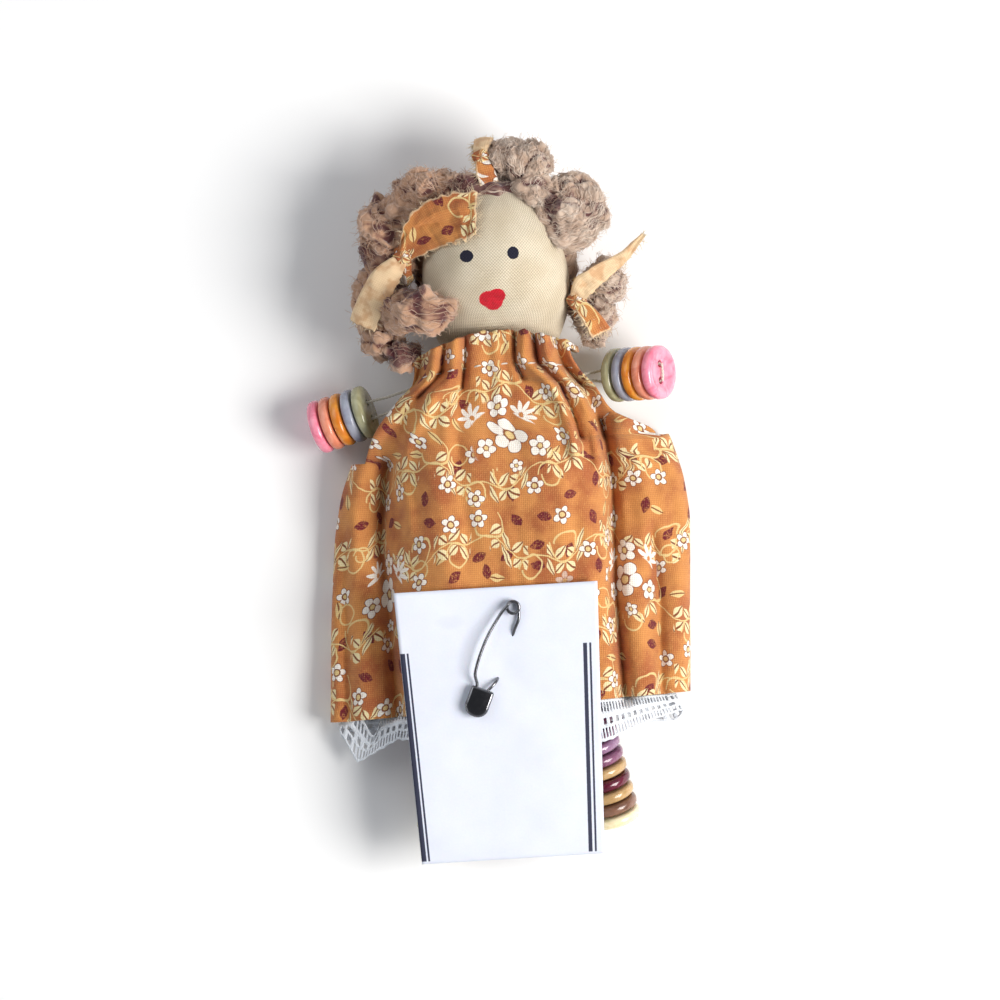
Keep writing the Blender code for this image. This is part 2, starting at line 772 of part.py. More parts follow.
def head_form(name, grow, helpers):
    """The head and neck as a closed form, grown by grow mm, to cut hair and ties clear of them."""
    rings = [oval_ring(s, grow) for s in BODY_SECTIONS[:11]]
    rings[0] = [point + Vector((0, grow * MM, 0)) for point in rings[0]]
    made = loft(rings, close_first=True)
    made.verts.ensure_lookup_table()
    made.faces.new(made.verts[-BODY_SIDES:])
    bmesh.ops.recalc_face_normals(made, faces=made.faces)
    return make_helper(add_mesh(name, made, helpers))


def build_hair(collection, helpers):
    hair = make_material("wool_hair", HAIR, 0.95)
    clear = head_form("head_clearance", HEAD_CLEARANCE, helpers)

    crown = head_form("hair_crown", HAIR_DEPTH, helpers)
    crown.hide_render = False
    crown.display_type = "TEXTURED"
    helpers.objects.unlink(crown)
    collection.objects.link(crown)
    (y0, z0), (y1, z1) = HAIRLINE_LOW, HAIRLINE_HIGH
    slope = math.atan2(z1 - z0, y1 - y0)
    turn = Matrix.Translation(vector_mm((0, y0, z0))) @ Matrix.Rotation(slope, 4, "X")
    face = cutter_box("face_opening", (-40, -60, 0), (40, 60, 60), helpers, turn)
    nape = cutter_box("nape_cut", (-40, -40, -40), (40, NAPE_Y, 60), helpers)
    floor = cutter_box("floor_cut", (-60, -60, -40), (60, 100, 0.3), helpers)
    for cutter in (clear, face, nape, floor):
        boolean(crown, cutter, "DIFFERENCE")
    baked(crown)
    crown.data.materials.append(hair)

    pieces = [crown]
    clearances = [clear]
    shapes = (
        ("hair_topknot", TOPKNOT_LUMPS),
        ("hair_left_curls", LEFT_CURLS),
        ("hair_right_curls", RIGHT_CURLS),
        ("left_pigtail", LEFT_PIGTAIL),
        ("right_pigtail", RIGHT_PIGTAIL),
    )
    for name, shape in shapes:
        piece = lumps(name, shape, collection, helpers, hair)
        boolean(piece, clear, "DIFFERENCE")
        baked(piece)
        grown = make_helper(lumps(f"{name}_clearance", shape, helpers, helpers, grow=HEAD_CLEARANCE))
        for other in pieces:
            boolean(other, grown, "DIFFERENCE")
            baked(other)
        pieces.append(piece)
        clearances.append(grown)
    return crown, clearances


def strip(points, helpers, name):
    """A tail of torn cloth along a list of (middle, half-width vector) pairs in mm."""
    rings = []
    for middle, half in points:
        middle, half = Vector(middle), Vector(half)
        rings.append([vector_mm(middle - half), vector_mm(middle), vector_mm(middle + half)])
    tail = add_mesh(name, loft(rings, wrap=False), helpers)
    solidified(tail, TIE_CLOTH)
    baked(tail)
    return make_helper(tail)


def tie_loop(name, tie, thickness, collection):
    """The loop of a tie round its bunch of hair."""
    middle, axis, radius = tie[:3]
    bpy.ops.mesh.primitive_torus_add(
        major_segments=12,
        minor_segments=5,
        major_radius=radius * MM,
        minor_radius=thickness,
        location=vector_mm(middle),
        rotation=Vector(axis).to_track_quat("Z", "Y").to_euler(),
    )
    loop = bpy.context.active_object
    loop.name = name
    bpy.context.collection.objects.unlink(loop)
    collection.objects.link(loop)
    return loop


def build_tie(name, tie, collection, helpers, keep_clear):
    """A torn strip of dress cloth tied round a bunch of hair: its loop, its knot and its two tails."""
    knot, tails = tie[3:]
    loop = tie_loop(name, tie, TIE_RADIUS, collection)
    ball = make_helper(lump(f"{name}_knot", knot, TIE_KNOT_RADII, helpers))
    boolean(loop, ball, "UNION")
    for i, tail in enumerate(tails):
        boolean(loop, strip(tail, helpers, f"{name}_tail_{i + 1}"), "UNION")
    for cutter in keep_clear:
        boolean(loop, cutter, "DIFFERENCE")
    baked(loop)
    loop.data.materials.clear()
    loop.data.materials.append(make_material("dress_cotton", DRESS, 0.85))
    return loop


def build_card(collection):
    """A paper card folded near its lower end, so that a short leaf lies behind."""
    path = list(CARD_FRONT)
    (y, top), (_, bottom) = CARD_FRONT[-1], CARD_BACK[0]
    middle, radius = (top + bottom) / 2, (top - bottom) / 2
    for i in range(1, CARD_FOLD_STEPS):
        angle = math.pi / 2 + math.pi * i / CARD_FOLD_STEPS
        path.append((y + radius * math.cos(angle), middle + radius * math.sin(angle)))
    path += CARD_BACK
    y_top, y_low = CARD_FRONT[0][0], CARD_FRONT[-1][0]
    rings = []
    for y, z in path:
        share = (y_top - y) / (y_top - y_low)
        left = CARD_TOP_EDGE[0] + (CARD_BOTTOM_EDGE[0] - CARD_TOP_EDGE[0]) * share
        right = CARD_TOP_EDGE[1] + (CARD_BOTTOM_EDGE[1] - CARD_TOP_EDGE[1]) * share
        across = [left + (right - left) * i / CARD_COLUMNS for i in range(CARD_COLUMNS + 1)]
        rings.append([vector_mm((x, y, z)) for x in across])
    paper = make_material("card_paper", (0.85, 0.86, 0.92), 0.7)
    card = add_mesh("card", loft(rings, wrap=False), collection, paper)
    return solidified(card, CARD)


def pin_path():
    """The pin's wire: out of the cap along the fixed arm, round the coil, and down the pointed arm, which
    dips through card and dress and comes up again into the cap."""
    across = Vector((0, 0, 1)).cross(PIN_DIRECTION)
    start = math.atan2(-across.y, -across.x)
    cap = CAP_MIDDLE
    # the fixed arm bows outwards on the doll's right
    fixed = [
        cap + across * -1.45 * MM + PIN_DIRECTION * 1.0 * MM,
        cap + across * -1.55 * MM - PIN_DIRECTION * 3.4 * MM + Vector((0, 0, 0.2 * MM)),
    ]
    fixed += [vector_mm(point) for point in FIXED_ARM]
    steps = round(COIL_TURNS * COIL_STEPS)
    coil = []
    for i in range(steps + 1):
        angle = start - 2 * math.pi * COIL_TURNS * i / steps
        coil.append(
            COIL_MIDDLE
            + Vector((math.cos(angle), math.sin(angle), 0)) * COIL_RADIUS
            + Vector((0, 0, COIL_PITCH * COIL_TURNS * (1 - i / steps)))
        )
    pointed = [vector_mm(point) for point in POINTED_ARM]
    pointed += [
        cap + across * 0.95 * MM - PIN_DIRECTION * 2.6 * MM + Vector((0, 0, 0.15 * MM)),
        cap + across * 0.85 * MM + PIN_DIRECTION * 1.0 * MM,
    ]
    return fixed + coil + pointed


def build_pin(collection, helpers):
    steel = make_material("pin_steel", (0.60, 0.60, 0.62), 0.25, 1.0)
    path = pin_path()
    tube_mesh("pin_wire", path, WIRE_RADIUS, collection, steel)
    through_cloth = path[-len(POINTED_ARM) - 2 :]
    clearance = make_helper(tube_mesh("pin_clearance", through_cloth, WIRE_RADIUS + GAP, helpers))

    wide, long, thick = CAP_SIZE
    outline = bpy.data.curves.new("pin_cap", "CURVE")
    outline.dimensions = "2D"
    outline.fill_mode = "BOTH"
    outline.extrude = thick / 2 * MM
    spline = outline.splines.new("POLY")
    corners = [(wide / 2, -long / 2), (wide / 2, long / 2 - wide / 2)]
    for i in range(1, CAP_ROUND_STEPS):
        angle = math.pi * i / CAP_ROUND_STEPS
        corners.append((wide / 2 * math.cos(angle), long / 2 - wide / 2 + wide / 2 * math.sin(angle)))
    corners += [(-wide / 2, long / 2 - wide / 2), (-wide / 2, -long / 2)]
    spline.points.add(len(corners) - 1)
    for target, (x, y) in zip(spline.points, corners):
        target.co = (x * MM, y * MM, 0, 1)
    spline.use_cyclic_u = True
    flat = add_object("pin_cap_outline", outline, helpers)
    mesh = evaluated_mesh(flat)
    bpy.data.objects.remove(flat)
    cap = add_object("pin_cap", mesh, collection, steel)
    across = Vector((0, 0, 1)).cross(PIN_DIRECTION)
    turn = Matrix((-across, PIN_DIRECTION, Vector((0, 0, 1)))).transposed().to_4x4()
    tilt = Matrix.Rotation(math.radians(CAP_TILT), 4, "X")
    place = Matrix.Translation(CAP_MIDDLE) @ turn @ tilt
    cap.matrix_world = place
    hollow = cutter_box(
        "pin_cap_hollow",
        (-wide / 2 + CAP_WALL, -long, -thick / 2 + CAP_WALL),
        (wide / 2 - CAP_WALL, long / 2 - wide / 2 + 0.9, thick / 2 - CAP_WALL),
        helpers,
        place,
    )
    boolean(cap, hollow, "DIFFERENCE")
    return clearance


def main():
    clear_scene()
    doll = make_collection("button_rag_doll")
    helpers = make_collection("cutters")

    build_body(doll)
    build_neck_threads(doll)
    build_petticoat(doll)
    build_lace(doll)
    dress = build_dress(doll)
    card = build_card(doll)
    pin_clearance = build_pin(doll, helpers)
    for sheet in (dress, card):
        boolean(sheet, pin_clearance, "DIFFERENCE")

    blank = button_blank(helpers)
    build_limb("right_arm", RIGHT_ARM, ARM_BUTTONS, blank, doll, helpers)
    build_limb("left_arm", LEFT_ARM, ARM_BUTTONS, blank, doll, helpers)
    build_limb("right_leg", RIGHT_LEG, LEG_BUTTONS, blank, doll, helpers)
    build_limb("left_leg", LEFT_LEG, LEG_BUTTONS, blank, doll, helpers)

    crown, clearances = build_hair(doll, helpers)
    for name, tie in (("top_tie", TOP_TIE), ("left_tie", LEFT_TIE), ("right_tie", RIGHT_TIE)):
        build_tie(name, tie, doll, helpers, clearances)
        groove = make_helper(tie_loop(f"{name}_groove", tie, TIE_RADIUS + GAP, helpers))
        boolean(crown, groove, "DIFFERENCE")


main()
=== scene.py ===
"""The looks of a small handmade rag doll with button limbs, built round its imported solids.

The doll lies on its back with its head to +Y, its face to +Z and its own left hand at +X. Lengths are
written in millimetres here and turned into metres where they reach Blender.
"""

import math
import random

import bmesh
import bpy
import numpy as np
from mathutils import Matrix, Vector, noise
from mathutils.bvhtree import BVHTree


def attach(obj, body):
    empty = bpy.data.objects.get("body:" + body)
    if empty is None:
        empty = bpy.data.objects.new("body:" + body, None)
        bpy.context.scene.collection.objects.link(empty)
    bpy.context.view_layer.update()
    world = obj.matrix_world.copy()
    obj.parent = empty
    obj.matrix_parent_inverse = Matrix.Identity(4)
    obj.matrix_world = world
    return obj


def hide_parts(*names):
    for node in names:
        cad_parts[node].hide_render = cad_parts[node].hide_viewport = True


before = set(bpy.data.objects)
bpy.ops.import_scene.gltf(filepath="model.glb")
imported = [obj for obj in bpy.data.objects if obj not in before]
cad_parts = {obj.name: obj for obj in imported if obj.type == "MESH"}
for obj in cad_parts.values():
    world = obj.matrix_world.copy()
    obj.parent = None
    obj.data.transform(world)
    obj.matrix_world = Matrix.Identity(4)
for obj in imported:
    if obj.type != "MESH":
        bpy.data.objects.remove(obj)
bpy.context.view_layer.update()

MM = 0.001
TURN = math.tau

# The muslin body from the crown of the head to the hips: y, middle z, half width, half depth
BODY_SECTIONS = (
    (66.2, 18.9, 3.4, 3.0),
    (64.2, 18.7, 8.0, 7.2),
    (60.0, 18.3, 12.4, 11.2),
    (54.0, 18.0, 15.3, 13.8),
    (47.5, 17.8, 16.5, 14.6),
    (41.5, 17.2, 16.6, 13.8),
    (36.5, 15.6, 15.6, 11.7),
    (31.5, 13.4, 13.6, 9.2),
    (27.5, 12.3, 11.6, 8.0),
    (23.5, 11.9, 13.4, 8.5),
    (17.5, 11.4, 17.0, 9.2),
    (8.0, 11.2, 19.8, 9.3),
    (-4.0, 11.0, 19.4, 9.0),
    (-13.0, 10.6, 16.6, 8.1),
    (-18.0, 10.2, 12.0, 6.4),
    (-20.5, 10.0, 7.0, 4.2),
)
BODY_TOP, BODY_BOTTOM = 67.0, -21.4
NECK_Y = 27.5

# The dress from the neck edge to the hem: y, right edge x, left edge x, side rounding, crown height, crown
# half width, wing height
DRESS_SECTIONS = (
    (33.5, -21.4, 17.4, 2.5, 27.4, 20.0, 17.0),
    (29.5, -21.4, 17.6, 2.5, 24.6, 20.0, 16.0),
    (26.2, -21.6, 19.2, 2.5, 22.6, 21.0, 16.4),
    (22.5, -22.8, 21.4, 2.5, 22.7, 22.0, 18.0),
    (17.0, -27.6, 24.4, 2.5, 22.7, 24.0, 18.4),
    (12.6, -31.2, 26.8, 2.5, 22.6, 25.0, 16.6),
    (10.6, -32.4, 36.0, 2.5, 22.5, 25.0, 14.6),
    (5.5, -34.8, 37.6, 3.5, 22.3, 25.5, 10.8),
    (-1.0, -37.5, 39.4, 3.5, 22.0, 26.0, 8.6),
    (-10.0, -39.5, 40.4, 3.0, 21.2, 27.0, 7.6),
    (-20.0, -40.6, 39.8, 3.0, 20.0, 28.5, 7.4),
    (-31.0, -41.7, 39.1, 3.0, 18.7, 30.0, 7.6),
    (-41.0, -42.4, 38.6, 3.0, 17.7, 31.8, 8.0),
    (-51.0, -43.1, 38.0, 3.0, 16.9, 33.5, 8.6),
)
DRESS_CLOTH = 0.45
CROWN_MIDDLE = -1.0
ARMHOLE_TOP, RIGHT_ARMHOLE_BOTTOM, LEFT_ARMHOLE_BOTTOM = 31.6, 5.6, 8.0
GATHER_Y = 26.0

# The petticoat: y, right edge x, left edge x, side rounding, and how far it stays under the dress's crown
# and wings
PETTICOAT_SECTIONS = (
    (-10.0, -34.0, 34.0, 3.0, 1.6, 1.6),
    (-20.0, -36.8, 36.2, 2.6, 1.6, 1.6),
    (-31.0, -38.2, 35.6, 2.6, 1.8, 1.5),
    (-41.0, -39.0, 35.2, 2.6, 2.1, 1.1),
    (-50.2, -39.7, 34.8, 2.6, 1.8, 1.2),
)
PETTICOAT_BACK = 1.05
LACE_TOP = -50.6
LACE_EDGE = (
    (-60.0, -53.6),
    (-39.6, -53.6),
    (-36.0, -61.8),
    (-27.0, -57.0),
    (-12.0, -58.6),
    (0.0, -57.0),
    (17.5, -60.2),
    (28.0, -56.0),
    (36.7, -53.6),
    (60.0, -53.6),
)
LACE_BACK_EDGE = -56.6
LACE_BAND = 4.3

# Limbs: knot, middle of the first button's inner face, plan angle and rise of the stack, and the lean of its
# buttons, in mm and degrees
LIMBS = {
    "right_arm": ((-17.4, 19.4, 11.4), (-30.1, 17.5, 9.8), 194.6, -15.0, 0.0),
    "left_arm": ((15.9, 22.0, 10.8), (25.2, 22.1, 8.6), 0.0, 33.0, 0.0),
    "right_leg": ((-7.0, -22.6, 9.9), (-14.1, -54.2, 8.0), 257.4, -3.4, -14.0),
    "left_leg": ((7.0, -22.6, 9.9), (14.1, -54.2, 8.0), 282.6, -3.4, -14.0),
}
BUTTON_RADIUS, BUTTON_THICKNESS, BUTTON_PITCH, WELL_DEPTH = 6.1, 2.4, 2.7, 0.7
HOLE_SPACING, HOLE_RADIUS = 3.8, 0.85
ARM_BUTTONS = ("sage", "grey", "orange", "salmon", "pink")
LEG_BUTTONS = ("plum", "dusk", "lilac", "mauve", "upper_tan", "burgundy", "lower_tan", "brown", "cream")


class Value:
    """A number that varies over a surface. Arithmetic on it adds Math nodes to its finish."""

    def __init__(self, finish, socket):
        self.finish = finish
        self.socket = socket

    def maths(self, operation, *values):
        made = self.finish.node("ShaderNodeMath", {"operation": operation}, dict(enumerate(values)))
        return Value(self.finish, made.outputs[0])

    def __add__(self, other):
        return self.maths("ADD", self, other)

    def __radd__(self, other):
        return self.maths("ADD", other, self)

    def __sub__(self, other):
        return self.maths("SUBTRACT", self, other)

    def __rsub__(self, other):
        return self.maths("SUBTRACT", other, self)

    def __mul__(self, other):
        return self.maths("MULTIPLY", self, other)

    def __rmul__(self, other):
        return self.maths("MULTIPLY", other, self)

    def __truediv__(self, other):
        return self.maths("DIVIDE", self, other)

    def __rtruediv__(self, other):
        return self.maths("DIVIDE", other, self)

    def __mod__(self, other):
        return self.maths("FLOORED_MODULO", self, other)

    def __pow__(self, other):
        return self.maths("POWER", self, other)

    def __neg__(self):
        return self.maths("MULTIPLY", self, -1.0)

    def __abs__(self):
        return self.maths("ABSOLUTE", self)

    def sin(self):
        return self.maths("SINE", self)

    def cos(self):
        return self.maths("COSINE", self)

    def floor(self):
        return self.maths("FLOOR", self)

    def sqrt(self):
        return self.maths("SQRT", self)

    def angle(self, other):
        """The angle of the point (other, self)."""
        return self.maths("ARCTAN2", self, other)

    def most(self, other):
        return self.maths("MAXIMUM", self, other)

    def least(self, other):
        return self.maths("MINIMUM", self, other)

    def step(self, low, high):
        """0 at low and beyond, 1 at high and beyond, smooth between them."""
        made = self.finish.node(
            "ShaderNodeMapRange",
            {"interpolation_type": "SMOOTHSTEP"},
            {"Value": self, "From Min": low, "From Max": high},
        )
        return Value(self.finish, made.outputs[0])


class Finish:
    """One material, built up node by node round its Principled shader."""

    def __init__(self, name, **constants):
        self.material = bpy.data.materials.new(name)
        self.material.use_nodes = True
        self.tree = self.material.node_tree
        self.shader = self.tree.nodes["Principled BSDF"]
        for socket, value in constants.items():
            self.feed(self.shader.inputs[socket.replace("_", " ").title().replace("Ior", "IOR")], value)

    def feed(self, socket, value):
        if isinstance(value, Value):
            value = value.socket
        if isinstance(value, bpy.types.NodeSocket):
            self.tree.links.new(value, socket)
        elif socket.type == "RGBA" and len(value) == 3:
            socket.default_value = (*value, 1.0)
        else:
            socket.default_value = value

    def node(self, kind, settings=None, sockets=None):
        made = self.tree.nodes.new(kind)
        for key, value in (settings or {}).items():
            setattr(made, key, value)
        for key, value in (sockets or {}).items():
            self.feed(made.inputs[key], value)
        return made

    def paint(self, socket, value):
        self.feed(self.shader.inputs[socket], value)
        return self

    def split(self, vector):
        made = self.node("ShaderNodeSeparateXYZ", {}, {0: vector})
        return [Value(self, made.outputs[i]) for i in range(3)]

    def join(self, x, y, z=0.0):
        return self.node("ShaderNodeCombineXYZ", {}, {0: x, 1: y, 2: z}).outputs[0]

    def scaled(self, vector, factor):
        return self.node("ShaderNodeVectorMath", {"operation": "SCALE"}, {0: vector, "Scale": factor}).outputs[0]

    def place(self):
        """The point on the doll, in mm."""
        return self.scaled(self.node("ShaderNodeTexCoord").outputs["Object"], 1000.0)

    def cloth(self):
        """The point on the cloth as it was cut, in mm."""
        return self.scaled(self.node("ShaderNodeUVMap", {"uv_map": "cloth"}).outputs[0], 1000.0)

    def attribute(self, name):
        return Value(self, self.node("ShaderNodeAttribute", {"attribute_name": name}).outputs["Fac"])

    def noise(self, vector, size, detail=2.0, roughness=0.5, distortion=0.0):
        """Soft noise between 0 and 1 whose spots are about size mm across."""
        made = self.node(
            "ShaderNodeTexNoise",
            {},
            {"Vector": vector, "Scale": 1.0 / size, "Detail": detail, "Roughness": roughness, "Distortion": distortion},
        )
        return Value(self, made.outputs[0])

    def mix(self, factor, a, b, blend="MIX"):
        made = self.node("ShaderNodeMix", {"data_type": "RGBA", "blend_type": blend}, {0: factor, 6: a, 7: b})
        return made.outputs[2]

    def bump(self, height, depth, normal=None):
        """A relief of depth mm between a height of 0 and of 1."""
        sockets = {"Height": height, "Distance": depth * MM, "Strength": 1.0}
        if normal:
            sockets["Normal"] = normal
        return self.node("ShaderNodeBump", {}, sockets).outputs[0]

    def weave(self, u, v, pitch):
        """The relief of a plain weave with threads pitch mm apart, between 0 and 1."""
        across = (u * (math.pi / pitch)).sin()
        along = (v * (math.pi / pitch)).sin()
        over = (across * along).step(-0.25, 0.25)
        return abs(across) * over + abs(along) * (1.0 - over)


# Colours as linear values
GROUND = (0.66, 0.275, 0.078)
GROUND_DEEP = (0.43, 0.125, 0.042)
# painted highlight on the tops of the dress's threads
THREAD_TOP_HIGHLIGHT = (0.92, 0.58, 0.20)
PRINT_CREAM = (0.88, 0.76, 0.44)
PRINT_WHITE = (0.96, 0.92, 0.84)
PRINT_TAN = (0.80, 0.60, 0.27)
PRINT_BROWN = (0.22, 0.055, 0.018)
PRINT_MAROON = (0.16, 0.012, 0.022)
REVERSE = (0.84, 0.62, 0.38)

PRINT_COLUMN, PRINT_DROP = 34.0, 34.0
VINE_ROW = 17.0


def petals(x, y, count, reach, size, squeeze=1.0, turn=0.0):
    """How far inside one of a ring of round petals a point lies, in mm; below 0 is outside."""
    sector = TURN / count
    spoke = (y.angle(x) + turn) % sector - sector / 2
    far = (x * x + y * y).sqrt()
    return size - ((far * spoke.cos() - reach) ** 2.0 + (far * spoke.sin() * squeeze) ** 2.0).sqrt()


def flower(finish, colour, x, y, size, petal_colour, count=5, turn=0.3):
    """Paints one flower of round petals with a brown outline and a ringed eye over colour."""
    inside = petals(x, y, count, 0.62 * size, 0.37 * size, 1.0, turn)
    colour = finish.mix(inside.step(-0.20, -0.08), colour, PRINT_BROWN)
    colour = finish.mix(inside.step(-0.02, 0.10), colour, petal_colour)
    far = (x * x + y * y).sqrt()
    colour = finish.mix(far.step(0.36 * size, 0.28 * size), colour, PRINT_BROWN)
    return finish.mix(far.step(0.26 * size, 0.18 * size), colour, PRINT_TAN)


def leaf(x, y, angle, start, length, width):
    """How far inside a pointed leaf a point lies, as a share: its stem is at the origin."""
    c, s = math.cos(angle), math.sin(angle)
    along = (x * c + y * s - (start + length / 2)) / (length / 2)
    side = (y * c - x * s) / (width / 2)
    return 1.0 - along * along - abs(side), side


def calico(finish, u, v, seed=0.0):
    """The printed cotton's colour: trailing vines with leaves, posies between them and small scattered motifs."""
    u = u + PRINT_COLUMN / 2
    v = v + PRINT_DROP - 10.0
    wander = finish.noise(finish.join(u, v, seed), 2.2, 1.0)
    u = u + (wander - 0.5) * 0.7
    v = v + (finish.noise(finish.join(v, u, seed + 5.0), 2.2, 1.0) - 0.5) * 0.7
    mottle = finish.noise(finish.join(u, v, seed + 9.0), 7.0, 3.0)
    colour = finish.mix(mottle.step(0.35, 0.7), GROUND, GROUND_DEEP)

    # posies, in columns that drop by half a repeat
    column = (u / PRINT_COLUMN).floor()
    x = u - (column + 0.5) * PRINT_COLUMN
    y = (v + column % 2.0 * PRINT_DROP) % (2 * PRINT_DROP) - PRINT_DROP
    from_posy = (x * x + y * y).sqrt()

    # scattered daisies and leaves, one to each cell of a loose grid
    scatter = finish.node(
        "ShaderNodeTexVoronoi",
        {"voronoi_dimensions": "2D"},
        {"Vector": finish.join(u, v), "Scale": 1 / 6.6, "Randomness": 0.72},
    )
    chance, spin, kind = finish.split(scatter.outputs["Color"])
    middle = finish.split(scatter.outputs["Position"])
    sx, sy = u - middle[0], v - middle[1]
    turn = spin * TURN
    rx = sx * turn.cos() + sy * turn.sin()
    ry = sy * turn.cos() - sx * turn.sin()
    free = from_posy.step(9.2, 10.2)
    dark_leaf = 1.0 - (rx / 1.9) ** 2.0 - abs(ry / 1.15)
    speck = finish.noise(finish.join(u, v, 3.0), 0.4, 1.0)
    dark = dark_leaf.step(0.0, 0.15) * free * chance.step(0.56, 0.57)
    colour = finish.mix(dark * speck.step(0.15, 0.5), colour, PRINT_MAROON)
    pale_leaf, vein = leaf(rx, ry, 0.0, -2.0, 4.0, 1.8)
    pale = pale_leaf.step(0.0, 0.12) * free * chance.step(0.24, 0.23)
    colour = finish.mix(pale, colour, PRINT_TAN)
    colour = finish.mix(pale * abs(vein).step(0.22, 0.10), colour, PRINT_BROWN)

    # vines that trail across, with leaves in pairs and curling shoots
    number = (v / VINE_ROW).floor()
    shifted = u + number * 13.0
    row = v - (number + 0.5) * VINE_ROW
    beat = shifted * (TURN / PRINT_COLUMN)
    rise = beat.sin() * 2.9 + (beat * 3.0 + 1.0).sin() * 1.1
    off = (row - rise) * 0.86
    clear = from_posy.step(7.6, 8.6)
    colour = finish.mix(abs(off).step(0.19, 0.10) * clear, colour, PRINT_TAN)
    budding = (shifted * (TURN / 13.0)).sin().step(-0.55, -0.45) * clear
    for side, phase in ((1.0, 0.0), (-1.0, 2.4)):
        along = (shifted + phase) % 4.9 - 2.0
        for angle, length in ((0.85, 3.9), (2.3, 2.9)):
            blade, vein = leaf(along, off * side, angle, 0.25, length, 1.7)
            mask = blade.step(0.0, 0.14) * budding
            colour = finish.mix(mask, colour, PRINT_CREAM)
            colour = finish.mix(mask * abs(vein).step(0.24, 0.10), colour, PRINT_BROWN)
    shoot = shifted % 17.0 - 8.5
    for side, where, size in ((1.0, 3.4, 2.9), (-1.0, -4.0, 2.3)):
        tx, ty = shoot - where, off * side - size
        curl = abs((tx * tx + ty * ty).sqrt() - size + ty.angle(tx) * 0.14)
        colour = finish.mix(curl.step(0.24, 0.13) * clear, colour, PRINT_TAN)

    # curling tendrils beside the posies
    for cx, cy, size in ((-12.5, -4.0, 2.3), (12.6, 5.0, 1.9), (-11.0, 9.0, 1.6)):
        tx, ty = x - cx, y - cy
        round_it = abs((tx * tx + ty * ty).sqrt() - size - ty.angle(tx) * 0.12)
        colour = finish.mix(round_it.step(0.22, 0.12), colour, PRINT_TAN)

    # small daisies, over the vines
    daisy = petals(rx, ry, 5, 1.25, 0.82, 1.2)
    shown = free * chance.step(0.235, 0.24) * chance.step(0.56, 0.55)
    colour = finish.mix(daisy.step(-0.17, -0.06) * shown, colour, PRINT_BROWN)
    colour = finish.mix(daisy.step(0.0, 0.1) * shown, colour, PRINT_WHITE)
    ring = (sx * sx + sy * sy).sqrt()
    colour = finish.mix(ring.step(0.95, 0.80) * shown, colour, PRINT_BROWN)
    colour = finish.mix(ring.step(0.62, 0.48) * shown, colour, PRINT_TAN)

    # the posy itself: a large flower with small ones and two fans of petals round it
    for cx, cy, angle in ((-5.6, 4.2, 2.2), (5.8, 4.4, 0.9)):
        fx, fy = x - cx, y - cy
        blades = petals(fx, fy, 9, 1.95, 1.45, 2.9)
        c, s = math.cos(angle), math.sin(angle)
        fan = blades.step(-0.05, 0.12) * (fx * c + fy * s).step(-0.9, -0.6)
        colour = finish.mix(fan, colour, PRINT_WHITE)
    for cx, cy, size, spin in ((0.3, 6.6, 2.6, 0.2), (-6.0, -2.6, 2.3, 0.9), (6.2, -2.8, 2.4, 0.5), (0.9, -6.9, 1.5, 0.1)):
        colour = flower(finish, colour, x - cx, y - cy, size, PRINT_WHITE, 5, spin)
    return flower(finish, colour, x, y, 4.1, PRINT_WHITE, 5, 0.75)


def printed_cotton():
    """The dress's cotton: the print, with painted highlight on each thread's top and painted shade between threads."""
    finish = Finish("printed_cotton", roughness=0.82, sheen_weight=0.15, specular_ior_level=0.25)
    u, v, _ = finish.split(finish.cloth())
    colour = calico(finish, u, v)
    weave = finish.weave(u + v * 0.04, v, 0.44)
    fibre = finish.noise(finish.join(u * 3.0, v * 0.6), 0.5, 2.0)
    # painted shade between the threads, and painted highlight on their tops
    colour = finish.mix((1.0 - weave).step(0.45, 1.0) * 0.55, colour, GROUND_DEEP, "MULTIPLY")
    colour = finish.mix(weave.step(0.72, 1.0) * fibre.step(0.45, 0.75) * 0.45, colour, THREAD_TOP_HIGHLIGHT)
    torn = finish.attribute("torn") + (fibre - 0.5) * 0.5
    colour = finish.mix(torn.step(0.35, 0.75) * 0.8, colour, REVERSE)
    finish.paint("Base Color", colour)
    finish.paint("Normal", finish.bump(weave + fibre * 0.35, 0.09))
    return finish.material


def cotton_reverse():
    """The unprinted side of the dress's cotton, where the print shows through faintly."""
    finish = Finish("cotton_reverse", roughness=0.85, sheen_weight=0.15, specular_ior_level=0.25)
    u, v, _ = finish.split(finish.cloth())
    shadow = finish.noise(finish.join(u, v), 3.0, 2.0)
    colour = finish.mix(shadow.step(0.45, 0.65) * 0.55, REVERSE, (0.52, 0.22, 0.08))
    weave = finish.weave(u, v, 0.44)
    # painted shade between the threads
    colour = finish.mix((1.0 - weave).step(0.4, 1.0) * 0.5, colour, (0.55, 0.30, 0.13))
    finish.paint("Base Color", colour)
    finish.paint("Normal", finish.bump(weave, 0.09))
    return finish.material


